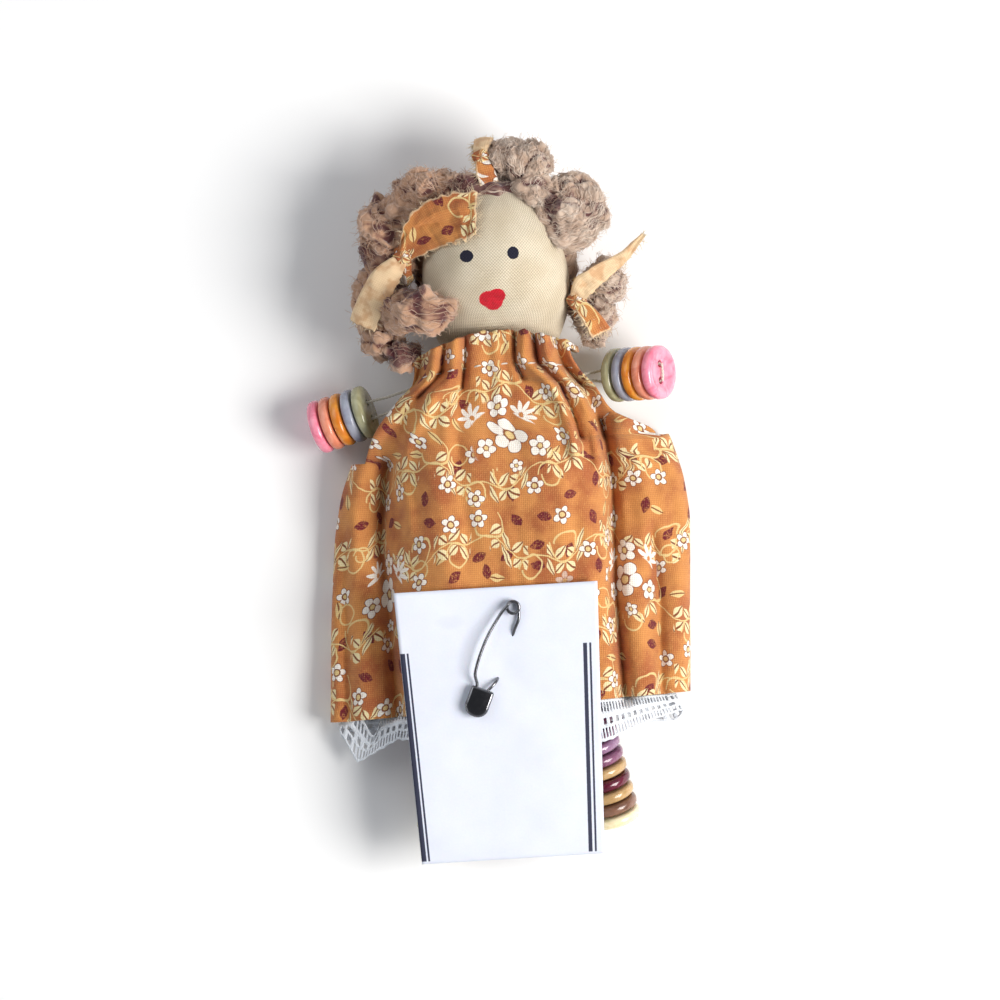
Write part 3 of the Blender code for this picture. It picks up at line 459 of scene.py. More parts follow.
def muslin():
    """Cream muslin, with the eyes and the mouth painted on it."""
    finish = Finish("muslin", roughness=0.8, sheen_weight=0.2, specular_ior_level=0.3)
    place = finish.place()
    x, y, z = finish.split(place)
    around = x.angle(z - 16.5) * 16.0
    u, v = (around + y) * 0.7071, (around - y) * 0.7071
    weave = finish.weave(u, v, 0.52)
    slub = finish.noise(finish.join(u * 0.35, v * 2.6), 1.0, 2.0)
    tone = finish.noise(place, 9.0, 3.0)
    colour = finish.mix(tone.step(0.35, 0.7), (0.80, 0.71, 0.55), (0.69, 0.59, 0.43))
    # painted shade between the threads
    colour = finish.mix((1.0 - weave).step(0.3, 0.9) * 0.9, colour, (0.40, 0.30, 0.19))
    colour = finish.mix(slub.step(0.6, 0.8) * 0.35, colour, (0.93, 0.82, 0.63))
    bleed = (finish.noise(place, 0.55, 2.0) - 0.5) * 0.5 + (weave - 0.6) * 0.16
    front = z.step(19.0, 21.0)

    def blot(cx, cy, wide, high):
        return (((x - cx) / wide) ** 2.0 + ((y - cy) / high) ** 2.0).sqrt()

    mouth = blot(0.0, 41.2, 2.0, 1.55).least(blot(-2.0, 40.6, 2.0, 1.75)).least(blot(-0.9, 40.2, 2.2, 2.15))
    red = finish.mix(finish.noise(place, 1.4, 2.0).step(0.3, 0.75), (0.66, 0.004, 0.022), (0.50, 0.003, 0.016))
    colour = finish.mix((mouth + bleed * 0.35).step(1.06, 0.94) * front, colour, red)
    eyes = blot(-6.2, 50.4, 1.5, 1.35).least(blot(4.2, 50.5, 1.28, 1.4))
    colour = finish.mix((eyes + bleed * 0.22).step(1.06, 0.97) * front, colour, (0.006, 0.006, 0.022))
    finish.paint("Base Color", colour)
    finish.paint("Normal", finish.bump(weave + slub * 0.3, 0.11))
    return finish.material


def plain_cloth(name, colour, shade, pitch, sheen=0.15):
    """A plain woven cloth of one colour, with painted shade between its threads and a tone that varies at random."""
    finish = Finish(name, roughness=0.85, sheen_weight=sheen, specular_ior_level=0.25)
    u, v, _ = finish.split(finish.cloth())
    weave = finish.weave(u, v, pitch)
    tone = finish.noise(finish.join(u, v), 6.0, 3.0)
    finish.paint("Base Color", finish.mix((1.0 - weave) * 0.6 + tone * 0.3, colour, shade))
    finish.paint("Normal", finish.bump(weave, 0.08))
    return finish.material


def cotton_thread(name="thread", colour=(0.86, 0.81, 0.70)):
    finish = Finish(name, roughness=0.8, sheen_weight=0.3)
    place = finish.place()
    hairs = finish.noise(place, 0.12, 3.0)
    finish.paint("Base Color", finish.mix(hairs, colour, tuple(0.6 * c for c in colour)))
    finish.paint("Normal", finish.bump(hairs, 0.05))
    return finish.material


def plastic(name, colour, deep, clear=0.25):
    """Glossy moulded plastic, slightly see-through, with faint swirls."""
    finish = Finish(
        name,
        roughness=0.22,
        ior=1.5,
        coat_weight=0.35,
        coat_roughness=0.08,
        subsurface_weight=clear,
        subsurface_radius=(1.0, 0.7, 0.5),
        subsurface_scale=0.0012,
    )
    place = finish.place()
    swirl = finish.noise(place, 3.4, 3.0, 0.55, 1.2)
    scuff = finish.noise(place, 0.5, 3.0)
    finish.paint("Base Color", finish.mix(swirl.step(0.35, 0.72), colour, deep))
    finish.paint("Roughness", 0.16 + scuff.step(0.5, 0.8) * 0.16)
    finish.paint("Normal", finish.bump(finish.noise(place, 1.1, 2.0), 0.03))
    return finish.material


def new_piece(name, made, materials=(), smooth=True):
    """A bmesh, or a mesh, as a named piece of the doll."""
    if isinstance(made, bmesh.types.BMesh):
        mesh = bpy.data.meshes.new(name)
        made.to_mesh(mesh)
        made.free()
    else:
        mesh = made
    if smooth:
        mesh.shade_smooth()
    piece = bpy.data.objects.new(name, mesh)
    bpy.context.scene.collection.objects.link(piece)
    mesh.materials.clear()
    for material in materials:
        mesh.materials.append(material)
    return piece


def settle(piece):
    """Applies a piece's modifiers, or turns a curve into its mesh."""
    bpy.context.view_layer.update()
    graph = bpy.context.evaluated_depsgraph_get()
    mesh = bpy.data.meshes.new_from_object(piece.evaluated_get(graph))
    name, materials = piece.name, [slot.material for slot in piece.material_slots]
    bpy.data.objects.remove(piece)
    return new_piece(name, mesh, materials)


def thickened(piece, thickness, reverse=False):
    """Gives an open sheet its thickness, half to each side."""
    modifier = piece.modifiers.new("thickness", "SOLIDIFY")
    modifier.thickness = thickness * MM
    modifier.offset = 0.0
    if reverse:
        modifier.material_offset = 1
    return piece


def lattice_sheet(name, columns, rows, place, materials, drop_face=None, seam=False, closed=True, torn=None):
    """A grid of cloth. place(s, t) gives x, y, z and the cloth's own u, v, in mm, over the whole grid. An
    open one, not closed, turns its first material upwards at its first column. torn(s, t) is how near a
    torn edge each point is."""
    made = bmesh.new()
    bmesh.ops.create_grid(made, x_segments=columns, y_segments=rows, size=0.5)
    mesh = bpy.data.meshes.new(name)
    made.to_mesh(mesh)
    made.free()
    flat = np.empty(len(mesh.vertices) * 3)
    mesh.vertices.foreach_get("co", flat)
    flat = flat.reshape(-1, 3)
    column = np.rint((flat[:, 0] + 0.5) * columns).astype(int)
    row = np.rint((flat[:, 1] + 0.5) * rows).astype(int)
    s, t = np.meshgrid(np.linspace(0, 1, columns + 1), np.linspace(0, 1, rows + 1))
    x, y, z, u, v = place(s, t)
    points = np.stack((x, y, z), axis=-1)[row, column] * MM
    mesh.vertices.foreach_set("co", points.ravel())
    layer = mesh.uv_layers.new(name="cloth")
    corner = np.empty(len(mesh.loops), int)
    mesh.loops.foreach_get("vertex_index", corner)
    layer.data.foreach_set("uv", (np.stack((u, v), axis=-1)[row, column][corner] * MM).ravel())
    if torn:
        mesh.attributes.new("torn", "FLOAT", "POINT").data.foreach_set("value", torn(s, t)[row, column])
    made = bmesh.new()
    made.from_mesh(mesh)
    made.verts.ensure_lookup_table()
    if drop_face is not None:
        doomed = [f for f in made.faces if drop_face(*(np.mean([(column[v.index], row[v.index]) for v in f.verts], axis=0)))]
        bmesh.ops.delete(made, geom=doomed, context="FACES")
    low = [f for f in made.faces if min(column[v.index] for v in f.verts) == 0]
    if seam:
        edge = [v for v in made.verts if column[v.index] in (0, columns) or row[v.index] in (0, rows)]
        bmesh.ops.remove_doubles(made, verts=edge, dist=0.0005 * MM)
    if closed:
        bmesh.ops.recalc_face_normals(made, faces=made.faces)
    else:
        made.normal_update()
        if sum(f.normal.z for f in low) < 0:
            bmesh.ops.reverse_faces(made, faces=made.faces)
    made.to_mesh(mesh)
    made.free()
    return new_piece(name, mesh, materials)


def smooth_columns(table, y, blur=1.6):
    """Each column of a section table at heights y, as smooth curves."""
    table = np.array(table, float)[::-1]
    fine = np.linspace(table[0, 0], table[-1, 0], 600)
    step = fine[1] - fine[0]
    reach = int(3 * blur / step)
    kernel = np.exp(-0.5 * (np.arange(-reach, reach + 1) * step / blur) ** 2)
    kernel /= kernel.sum()
    columns = []
    for k in range(1, table.shape[1]):
        line = np.interp(fine, table[:, 0], table[:, k])
        line = np.pad(line, reach, mode="reflect", reflect_type="odd")
        columns.append(np.interp(y, fine, np.convolve(line, kernel, "valid")))
    return columns


def section_reader(table, blur=0.9):
    """A function that gives a section table's columns at one height, smoothed."""
    heights = np.linspace(min(row[0] for row in table), max(row[0] for row in table), 400)
    columns = smooth_columns(table, heights, blur)
    return lambda y: [float(np.interp(y, heights, column)) for column in columns]


def ripples(x, y, wavelength, seed, stretch=1.0, waves=7):
    """Smooth irregular waves between about -1 and 1, drawn out along y by stretch."""
    chance = random.Random(seed)
    total = np.zeros_like(x)
    for _ in range(waves):
        angle = chance.uniform(0, TURN)
        pitch = wavelength * chance.uniform(0.7, 1.5)
        phase = chance.uniform(0, TURN)
        total += np.sin(TURN * (x * math.cos(angle) + y * math.sin(angle) / stretch) / pitch + phase)
    return total / math.sqrt(waves) / 1.5


def ridge(x, y, height, width, line):
    """A fold along a line of points: its height, its width to each side, in mm. It fades past its ends."""
    near = np.full(x.shape, 1e9)
    for (x0, y0), (x1, y1) in zip(line, line[1:]):
        dx, dy = x1 - x0, y1 - y0
        share = np.clip(((x - x0) * dx + (y - y0) * dy) / (dx * dx + dy * dy), 0, 1)
        near = np.minimum(near, (x - x0 - share * dx) ** 2 + (y - y0 - share * dy) ** 2)
    return height * np.exp(-near / (2 * width * width))


# Folds: height, half width, and the line that each follows, in mm. Those below 0 are valleys. The petticoat
# and its lace follow the main ones.
MAIN_FOLDS = (
    (-5.4, 1.15, ((22.0, 12.0), (22.6, 7.0), (23.4, -1.0), (23.2, -8.0), (22.6, -24.0), (23.4, -54.0))),
    (2.4, 2.2, ((26.5, 10.5), (29.4, 2.5), (30.4, -8.0), (28.6, -20.0), (28.2, -34.0), (29.0, -54.0))),
    (-5.0, 1.25, ((-27.0, 5.0), (-28.6, -5.4), (-29.4, -13.9), (-28.4, -25.0), (-28.2, -38.0), (-27.6, -54.0))),
    (1.8, 2.2, ((-33.0, 4.0), (-35.2, -10.0), (-34.4, -26.0), (-35.6, -54.0))),
    (-2.6, 0.9, ((13.0, 33.0), (15.0, 24.9), (19.9, 15.1), (21.8, 9.3))),
    (2.2, 1.7, ((12.8, 33.0), (17.3, 27.0), (21.9, 20.8), (25.9, 12.1))),
)
SMALL_FOLDS = (
    (2.9, 0.95, ((5.9, 33.5), (5.0, 27.0), (8.6, 23.6), (11.3, 20.7), (13.4, 15.9), (14.9, 9.7), (15.4, 5.0))),
    (-3.6, 0.6, ((3.4, 34.0), (3.3, 26.2), (4.6, 22.9))),
    (-3.6, 0.65, ((7.7, 34.0), (8.3, 26.2), (12.8, 21.0), (15.0, 15.1), (16.6, 8.8))),
    (2.8, 0.9, ((9.8, 33.5), (10.8, 27.0), (15.3, 22.4), (17.9, 17.6), (20.0, 10.8), (20.6, 3.0))),
    (-3.0, 0.7, ((12.2, 33.5), (13.6, 26.0), (17.6, 20.6))),
    (-2.4, 0.6, ((-7.6, 33.5), (-8.0, 28.0), (-8.8, 21.5))),
    (1.6, 1.1, ((-9.6, 33.0), (-10.4, 26.0), (-16.2, 18.4), (-22.0, 9.9), (-23.6, 2.0), (-22.6, -10.0))),
    (-2.2, 0.7, ((-12.4, 33.5), (-13.4, 26.5), (-18.6, 19.9))),
    (1.6, 1.0, ((-15.0, 33.0), (-16.0, 26.0), (-21.6, 19.4), (-28.6, 11.5))),
    (-1.8, 0.8, ((-17.6, 33.0), (-19.0, 25.0), (-24.4, 17.0))),
    (-1.6, 1.0, ((-37.6, -8.0), (-38.6, -30.0), (-39.2, -50.0))),
    (1.2, 2.0, ((33.8, -6.0), (35.6, -24.0), (34.4, -50.0))),
    (-1.6, 0.9, ((31.6, -14.0), (32.4, -30.0), (31.6, -50.0))),
    (0.9, 2.6, ((-14.0, 14.0), (-16.0, 0.0), (-15.0, -20.0))),
    (-0.9, 1.6, ((-9.0, 18.0), (-11.0, 4.0), (-9.5, -16.0))),
    (0.8, 3.0, ((8.0, 10.0), (10.0, -4.0), (8.0, -22.0))),
    (-0.9, 1.4, ((15.4, -2.0), (15.0, -14.0), (13.6, -24.0))),
)


def folds(x, y, table):
    return sum(ridge(x, y, height, width, line) for height, width, line in table)


DRESS_PARTS = (0.0, 0.085, 0.125, 0.875, 0.915, 1.0)


def tube_form(s, y, section, back):
    """Points round a flattened cloth tube, from the middle of its back over the doll's right side and its
    front: x, z, and how much each lies on the front."""
    right, left, rounding, crown, half, wing = section
    inner_right, inner_left = right + rounding, left - rounding
    a, b, c, d = DRESS_PARTS[1:5]
    middle = (inner_right + inner_left) / 2

    def upper(x):
        share = np.abs(x - CROWN_MIDDLE) / (half * 0.85)
        return wing + (crown - wing) / (1 + share**8)

    front_x = inner_right + (inner_left - inner_right) * np.clip((s - b) / (c - b), 0, 1)
    front_z = upper(front_x)
    x = np.where(s < a, middle + (inner_right - middle) * s / a, front_x)
    z = np.where(s < a, back, front_z)
    x = np.where(s > d, inner_left + (middle - inner_left) * (s - d) / (1 - d), x)
    z = np.where(s > d, back, z)
    weight = ((s >= b) & (s <= c)).astype(float)
    for low, high, edge, side, flip in ((a, b, inner_right, -1, False), (c, d, inner_left, 1, True)):
        on = (s > low) & (s < high)
        share = (s - low) / (high - low)
        turn = math.pi * (share if flip else 1 - share)
        top = upper(edge)
        x = np.where(on, edge + side * rounding * np.sin(turn), x)
        z = np.where(on, (top + back) / 2 + (top - back) / 2 * np.cos(turn), z)
        weight = np.where(on, np.clip(0.5 + 0.5 * np.cos(turn), 0, 1), weight)
    return x, z, weight


def cloth_run(x, z, start):
    """The cloth's own length along each row, from its start column, in mm."""
    run = np.zeros_like(x)
    run[:, 1:] = np.cumsum(np.hypot(np.diff(x, axis=1), np.diff(z, axis=1)), axis=1)
    return run - run[:, start : start + 1]


def dress_relief(x, y):
    """How far the front of the dress stands off its plain form, in mm."""
    top, bottom = DRESS_SECTIONS[0][0], DRESS_SECTIONS[-1][0]
    fade = np.clip((y - 1.0) / 27.0, 0, 1)
    fan = 19.5 + 0.36 * (top - y)
    relief = 0.35 * fade * np.cos((x - CROWN_MIDDLE) / fan * math.pi * 9 + 0.7 * np.sin(x * 0.5))
    relief = relief + folds(x, y, MAIN_FOLDS) + folds(x, y, SMALL_FOLDS)
    relief = relief - 0.7 * np.exp(-(((y - GATHER_Y) / 0.9) ** 2)) * (np.abs(x) < 18)
    relief = relief + 0.30 * ripples(x, y, 9.0, 4, 2.2) + 0.16 * ripples(x, y, 4.2, 5, 1.8)
    return relief + np.clip((y + 20) / (bottom + 20), 0, 1) * 0.5 * ripples(x, y, 12.0, 8, 4.0)


def dress_place(s, t):
    top, bottom = DRESS_SECTIONS[0][0], DRESS_SECTIONS[-1][0]
    y = top + (bottom - top) * t
    section = smooth_columns(DRESS_SECTIONS, y)
    x, z, weight = tube_form(s, y, section, DRESS_CLOTH / 2)
    z = z + weight * dress_relief(x, y)
    u = cloth_run(x, z, int(round((s.shape[1] - 1) * 0.5)))
    v = y.copy()
    near_top = np.clip((y - 20.0) / (top - 20.0), 0, 1)
    near_hem = np.clip((y + 20.0) / (bottom + 20.0), 0, 1)
    frill = np.clip((y - 29.5) / 4.0, 0, 1)
    y = y - 0.0145 * x * x * near_top + 0.027 * x * near_hem + 0.35 * frill * ripples(x, y * 0, 3.0, 9)
    return x, y, np.maximum(z, DRESS_CLOTH / 2), u, v


def make_dress(front, reverse):
    columns, rows = 260, 130
    top, bottom = DRESS_SECTIONS[0][0], DRESS_SECTIONS[-1][0]

    def armhole(column, row):
        s, y = column / columns, top + (bottom - top) * row / rows
        right = DRESS_PARTS[1] < s < DRESS_PARTS[2] and RIGHT_ARMHOLE_BOTTOM < y
        left = DRESS_PARTS[3] < s < DRESS_PARTS[4] and LEFT_ARMHOLE_BOTTOM < y
        return (right or left) and y < ARMHOLE_TOP

    dress = lattice_sheet("dress_cloth", columns, rows, dress_place, [front, reverse], armhole, seam=True)
    thickened(dress, DRESS_CLOTH, reverse=True)
    return dress


def gather_stitches(dress, material):
    """The gathering thread's running stitch, in and out of the front of the neck."""
    made = bmesh.new()
    made.from_mesh(dress.data)
    tree = BVHTree.FromBMesh(made)
    made.free()
    path = []
    for x in np.arange(-17.6, 16.0, 0.16):
        y = GATHER_Y - 0.0064 * x * x
        hit = tree.ray_cast(Vector((x, y, 60.0)) * MM, Vector((0, 0, -1)))[0]
        if hit:
            path.append(hit / MM + Vector((0, 0.12 * math.sin(x * 1.1), 0.5 * math.sin(x * TURN / 3.0))))
    stitches = wire("gather_stitches", [path], 0.2, material, sides=1)
    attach(stitches, "doll")
    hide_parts("gather_thread")


def build_body(material):
    """The stuffed head and body, sewn from muslin and closed at the hips."""
    made = bmesh.new()
    bmesh.ops.create_uvsphere(made, u_segments=96, v_segments=88, radius=1.0)
    closed = [(BODY_TOP, 18.9, 0.0, 0.0), *BODY_SECTIONS, (BODY_BOTTOM, 10.0, 0.0, 0.0)]
    sections = section_reader([(y, z, w * w, d * d) for y, z, w, d in closed])
    for vert in made.verts:
        share = math.acos(max(-1.0, min(1.0, vert.co.z))) / math.pi
        turn = math.atan2(vert.co.y, vert.co.x)
        y = BODY_TOP + (BODY_BOTTOM - BODY_TOP) * (0.5 - 0.5 * math.cos(math.pi * share)) ** 0.92
        middle, wide, deep = sections(y)
        wide, deep = math.sqrt(max(wide, 0.0)), math.sqrt(max(deep, 0.0))
        seam = math.exp(-((math.sin(turn) / 0.07) ** 2)) * 0.35
        pull = 1.0 - seam / max(wide, 4.0)
        point = Vector((wide * math.cos(turn) * pull, y, middle + deep * math.sin(turn)))
        soft = noise.noise(point * 0.16) * 0.35 + noise.noise(point * 0.45) * 0.12
        vert.co = (point + Vector((math.cos(turn), 0, math.sin(turn))) * soft) * MM
    bmesh.ops.recalc_face_normals(made, faces=made.faces)
    return new_piece("stuffed_muslin_body", made, [material])


def master_button():
    """A two-hole button, turned from its section, lying on its inner face with its axis along +Z."""
    profile = (
        (0.0, 1.60), (2.7, 1.64), (3.4, 1.76), (4.0, 2.08), (4.5, 2.34), (4.9, 2.42), (5.35, 2.38), (5.78, 2.16),
        (6.03, 1.80), (6.1, 1.35), (6.1, 0.90), (6.0, 0.48), (5.7, 0.18), (5.2, 0.03), (4.6, 0.0), (0.0, 0.0),
    )
    made = bmesh.new()
    points = [made.verts.new((r * MM, 0, z * MM)) for r, z in profile]
    for a, b in zip(points, points[1:]):
        made.edges.new((a, b))
    bmesh.ops.spin(
        made, geom=made.verts[:] + made.edges[:], axis=(0, 0, 1), cent=(0, 0, 0), angle=TURN, steps=48, use_merge=True
    )
    bmesh.ops.remove_doubles(made, verts=made.verts, dist=0.001 * MM)
    bmesh.ops.recalc_face_normals(made, faces=made.faces)
    blank = new_piece("button_blank", made)
    for side in (-1, 1):
        drill = bmesh.new()
        bmesh.ops.create_cone(
            drill, cap_ends=True, segments=24, radius1=HOLE_RADIUS * MM, radius2=HOLE_RADIUS * MM, depth=8 * MM
        )
        bmesh.ops.translate(drill, vec=(0, side * HOLE_SPACING / 2 * MM, 0), verts=drill.verts)
        cutter = new_piece(f"drill_{side}", drill)
        cutter.hide_render = True
        modifier = blank.modifiers.new("hole", "BOOLEAN")
        modifier.operation = "DIFFERENCE"
        modifier.solver = "EXACT"
        modifier.object = cutter
    blank = settle(blank)
    for side in (-1, 1):
        bpy.data.objects.remove(bpy.data.objects[f"drill_{side}"])
    blank.data.set_sharp_from_angle(angle=math.radians(38))
    mesh = blank.data
    bpy.data.objects.remove(blank)
    return mesh


def direction(plan_angle, rise):
    plan, up = math.radians(plan_angle), math.radians(rise)
    return Vector((math.cos(plan) * math.cos(up), math.sin(plan) * math.cos(up), math.sin(up)))


def wire(name, paths, radius, material, sides=1, ends=None):
    """Round strands along lists of points, all in mm, as one mesh. ends is how thick the tips stay."""
    curve = bpy.data.curves.new(name, "CURVE")
    curve.dimensions = "3D"
    curve.bevel_depth = radius * MM
    curve.bevel_resolution = sides
    curve.use_fill_caps = True
    for path in paths:
        spline = curve.splines.new("POLY")
        spline.points.add(len(path) - 1)
        flat = np.ones((len(path), 4))
        flat[:, :3] = np.array([tuple(p) for p in path]) * MM
        spline.points.foreach_set("co", flat.ravel())
        if ends is not None:
            share = np.linspace(0, 1, len(path))
            spline.points.foreach_set("radius", ends + (1 - ends) * np.clip(4 * share * (1 - share), 0, 1) ** 0.5)
    piece = bpy.data.objects.new(name, curve)
    bpy.context.scene.collection.objects.link(piece)
    curve.materials.append(material)
    piece = settle(piece)
    made = bmesh.new()
    made.from_mesh(piece.data)
    bmesh.ops.remove_doubles(made, verts=made.verts, dist=0.0005 * MM)
    bmesh.ops.recalc_face_normals(made, faces=made.faces)
    made.to_mesh(piece.data)
    made.free()
    return piece


def smooth_path(points, step=0.5):
    """A smooth curve through points, with a point about every step mm."""
    points = [Vector(p) for p in points]
    ends = [points[0] * 2 - points[1], *points, points[-1] * 2 - points[-2]]
    path = []
    for a, b, c, d in zip(ends, ends[1:], ends[2:], ends[3:]):
        count = max(2, int((c - b).length / step))
        for i in range(count):
            t = i / count
            path.append(
                0.5 * (2 * b + (c - a) * t + (2 * a - 5 * b + 4 * c - d) * t * t + (3 * b - a - 3 * c + d) * t**3)
            )
    return path + [points[-1]]


def twisted(path, spread, pitch, strands=2):
    """Strands that wind round a path, as in a plied thread."""
    made = []
    for k in range(strands):
        line = []
        run = 0.0
        for i, point in enumerate(path):
            ahead = path[min(i + 1, len(path) - 1)] - path[max(i - 1, 0)]
            ahead.normalize()
            side = ahead.cross(Vector((0.13, 0.21, 0.97))).normalized()
            up = side.cross(ahead)
            if i:
                run += (point - path[i - 1]).length
            turn = TURN * (run / pitch + k / strands)
            line.append(point + (side * math.cos(turn) + up * math.sin(turn)) * spread)
        made.append(line)
    return made


PLASTICS = {
    "sage": ((0.48, 0.46, 0.28), (0.37, 0.35, 0.20)),
    "grey": ((0.40, 0.42, 0.50), (0.30, 0.31, 0.40)),
    "orange": ((0.83, 0.33, 0.04), (0.70, 0.20, 0.02)),
    "salmon": ((0.86, 0.34, 0.22), (0.72, 0.22, 0.13)),
    "pink": ((0.93, 0.33, 0.44), (0.84, 0.17, 0.27)),
    "plum": ((0.16, 0.03, 0.09), (0.09, 0.012, 0.05)),
    "mauve": ((0.27, 0.11, 0.19), (0.18, 0.06, 0.12)),
    "lilac": ((0.33, 0.19, 0.31), (0.24, 0.12, 0.21)),
    "tan": ((0.58, 0.38, 0.18), (0.44, 0.27, 0.11)),
    "burgundy": ((0.13, 0.010, 0.030), (0.07, 0.004, 0.016)),
    "brown": ((0.24, 0.12, 0.075), (0.15, 0.07, 0.045)),
    "cream": ((0.92, 0.82, 0.55), (0.84, 0.70, 0.40)),
}


def build_limb(name, colours, shape, plastics, thread):
    """A stack of buttons on a doubled, plied thread that is knotted at the body."""
    knot, start, plan, rise, lean = LIMBS[name]
    knot, start = Vector(knot), Vector(start)
    line, along = direction(plan, rise), direction(plan, rise + lean)
    step = BUTTON_PITCH / math.cos(math.radians(lean))
    across = Vector((0, 0, 1)).cross(along).normalized()
    up = across.cross(along)
    frame_turn = Matrix((up, across, along)).transposed().to_4x4()
    for i, colour in enumerate(colours):
        plain = {"upper_tan": "tan", "lower_tan": "tan", "dusk": "mauve"}.get(colour, colour)
        mesh = shape.copy()
        mesh.transform(Matrix.Translation((start + line * step * i) * MM) @ frame_turn)
        node = f"{name}_button_{i + 1}_{colour}"
        button = new_piece(f"{node}_turned", mesh, [plastics[plain]], smooth=False)
        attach(button, name)
        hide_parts(node)
    far = start + line * (len(colours) - 1) * step + along * (BUTTON_THICKNESS - WELL_DEPTH)
    half = HOLE_SPACING / 2
    out = [
        knot + across * 0.4,
        knot.lerp(start, 0.6) + across * 1.1,
        start - line * 0.5 + across * half,
        start.lerp(far, 0.5) + across * half,
        far - line * 0.1 + across * half,
        far + along * 0.42 + across * (half - 0.35),
        far + along * 0.52 + across * 0.6,
    ]
    back = [p - 2 * across * across.dot(p - start) for p in reversed(out)]
    paths = twisted(smooth_path(out + back, 0.35), 0.17, 1.5)
    ball = []
    for k in range(5):
        axis = Vector((math.sin(k * 2.1), math.cos(k * 1.3), math.sin(k * 0.9 + 1))).normalized()
        side = axis.orthogonal().normalized()
        ring = [knot + (Matrix.Rotation(TURN * i / 14, 3, axis) @ side) * 0.85 for i in range(15)]
        ball.append(ring)
    strands = wire(f"{name}_plied_thread", paths + ball, 0.2, thread, sides=2)
    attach(strands, name)
    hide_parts(f"{name}_thread")


def petticoat_sections():
    """The petticoat's rows as full sections, set inside the dress."""
    rows = []
    for y, right, left, rounding, crown_drop, wing_drop in PETTICOAT_SECTIONS:
        crown, half, wing = (np.interp(y, *zip(*[(s[0], s[k]) for s in reversed(DRESS_SECTIONS)])) for k in (4, 5, 6))
        rows.append((y, right, left, rounding, crown - crown_drop, half - 2.0, wing - wing_drop))
    return rows


def petticoat_place(s, t):
    rows = petticoat_sections()
    y = rows[0][0] + (rows[-1][0] - rows[0][0]) * t
    x, z, weight = tube_form(s, y, smooth_columns(rows, y), PETTICOAT_BACK)
    z = z + weight * (folds(x, y, MAIN_FOLDS) - 0.5 + 0.2 * ripples(x, y, 7.0, 21, 3.0))
    return x, y, np.maximum(z, PETTICOAT_BACK), cloth_run(x, z, s.shape[1] // 2), y


def lace_place(s, t):
    last = petticoat_sections()[-1]
    y = np.full_like(s, last[0])
    x, z, weight = tube_form(s, y, [np.full_like(s, value) for value in last[1:]], PETTICOAT_BACK)
    z = z + weight * (folds(x, y - 2, MAIN_FOLDS) - 0.3) * (1 - np.clip(3 * t, 0, 1))
    run = cloth_run(x, z, s.shape[1] // 2)
    low = np.interp(x, *zip(*LACE_EDGE))
    low = LACE_BACK_EDGE + (low - LACE_BACK_EDGE) * np.clip(weight * 3, 0, 1)
    top = LACE_TOP + 0.2 - 5.2 * np.exp(-(((x + 33.8) / 1.9) ** 2)) * (weight > 0.5)
    scallop = 0.28 * np.abs(np.sin(run * math.pi / 2.4))
    y = top + (low + scallop - top) * t
    beyond = np.clip((np.abs(x) - 28.0) / 10.0, 0, 1) * (weight > 0.5)
    z = z - beyond * 0.3 * (LACE_TOP - y) + 0.25 * weight * ripples(run, y, 4.0, 31)
    return x * (1 + 0.05 * t), y, np.maximum(z, 0.4), run, -t * LACE_BAND


def make_lace(finish):
    """A narrow openwork trim: borders and ribs with slots between them."""
    columns, rows = 560, 13

    def slot(column, row):
        line, rib = int(row), int(column) % 4
        if line in (1, 2, 3):
            return rib in (1, 2)
        if line in (6, 7):
            return (int(column) // 2) % 4 in (1, 2)
        return line in (9, 10, 11) and (int(column) + 2) % 4 in (1, 2)

    lace = lattice_sheet("openwork_lace", columns, rows, lace_place, [finish], slot, seam=True)
    return thickened(lace, 0.3)


def through(points, count):
    """count points, evenly spread by number, on a smooth curve through points of any width."""
    points = np.array(points, float)
    ends = np.vstack((2 * points[0] - points[1], points, 2 * points[-1] - points[-2]))
    place = np.linspace(0, len(points) - 1, count)
    i = np.minimum(place.astype(int), len(points) - 2)
    t = (place - i)[:, None]
    a, b, c, d = ends[i], ends[i + 1], ends[i + 2], ends[i + 3]
    return 0.5 * (2 * b + (c - a) * t + (2 * a - 5 * b + 4 * c - d) * t * t + (3 * b - a - 3 * c + d) * t**3)
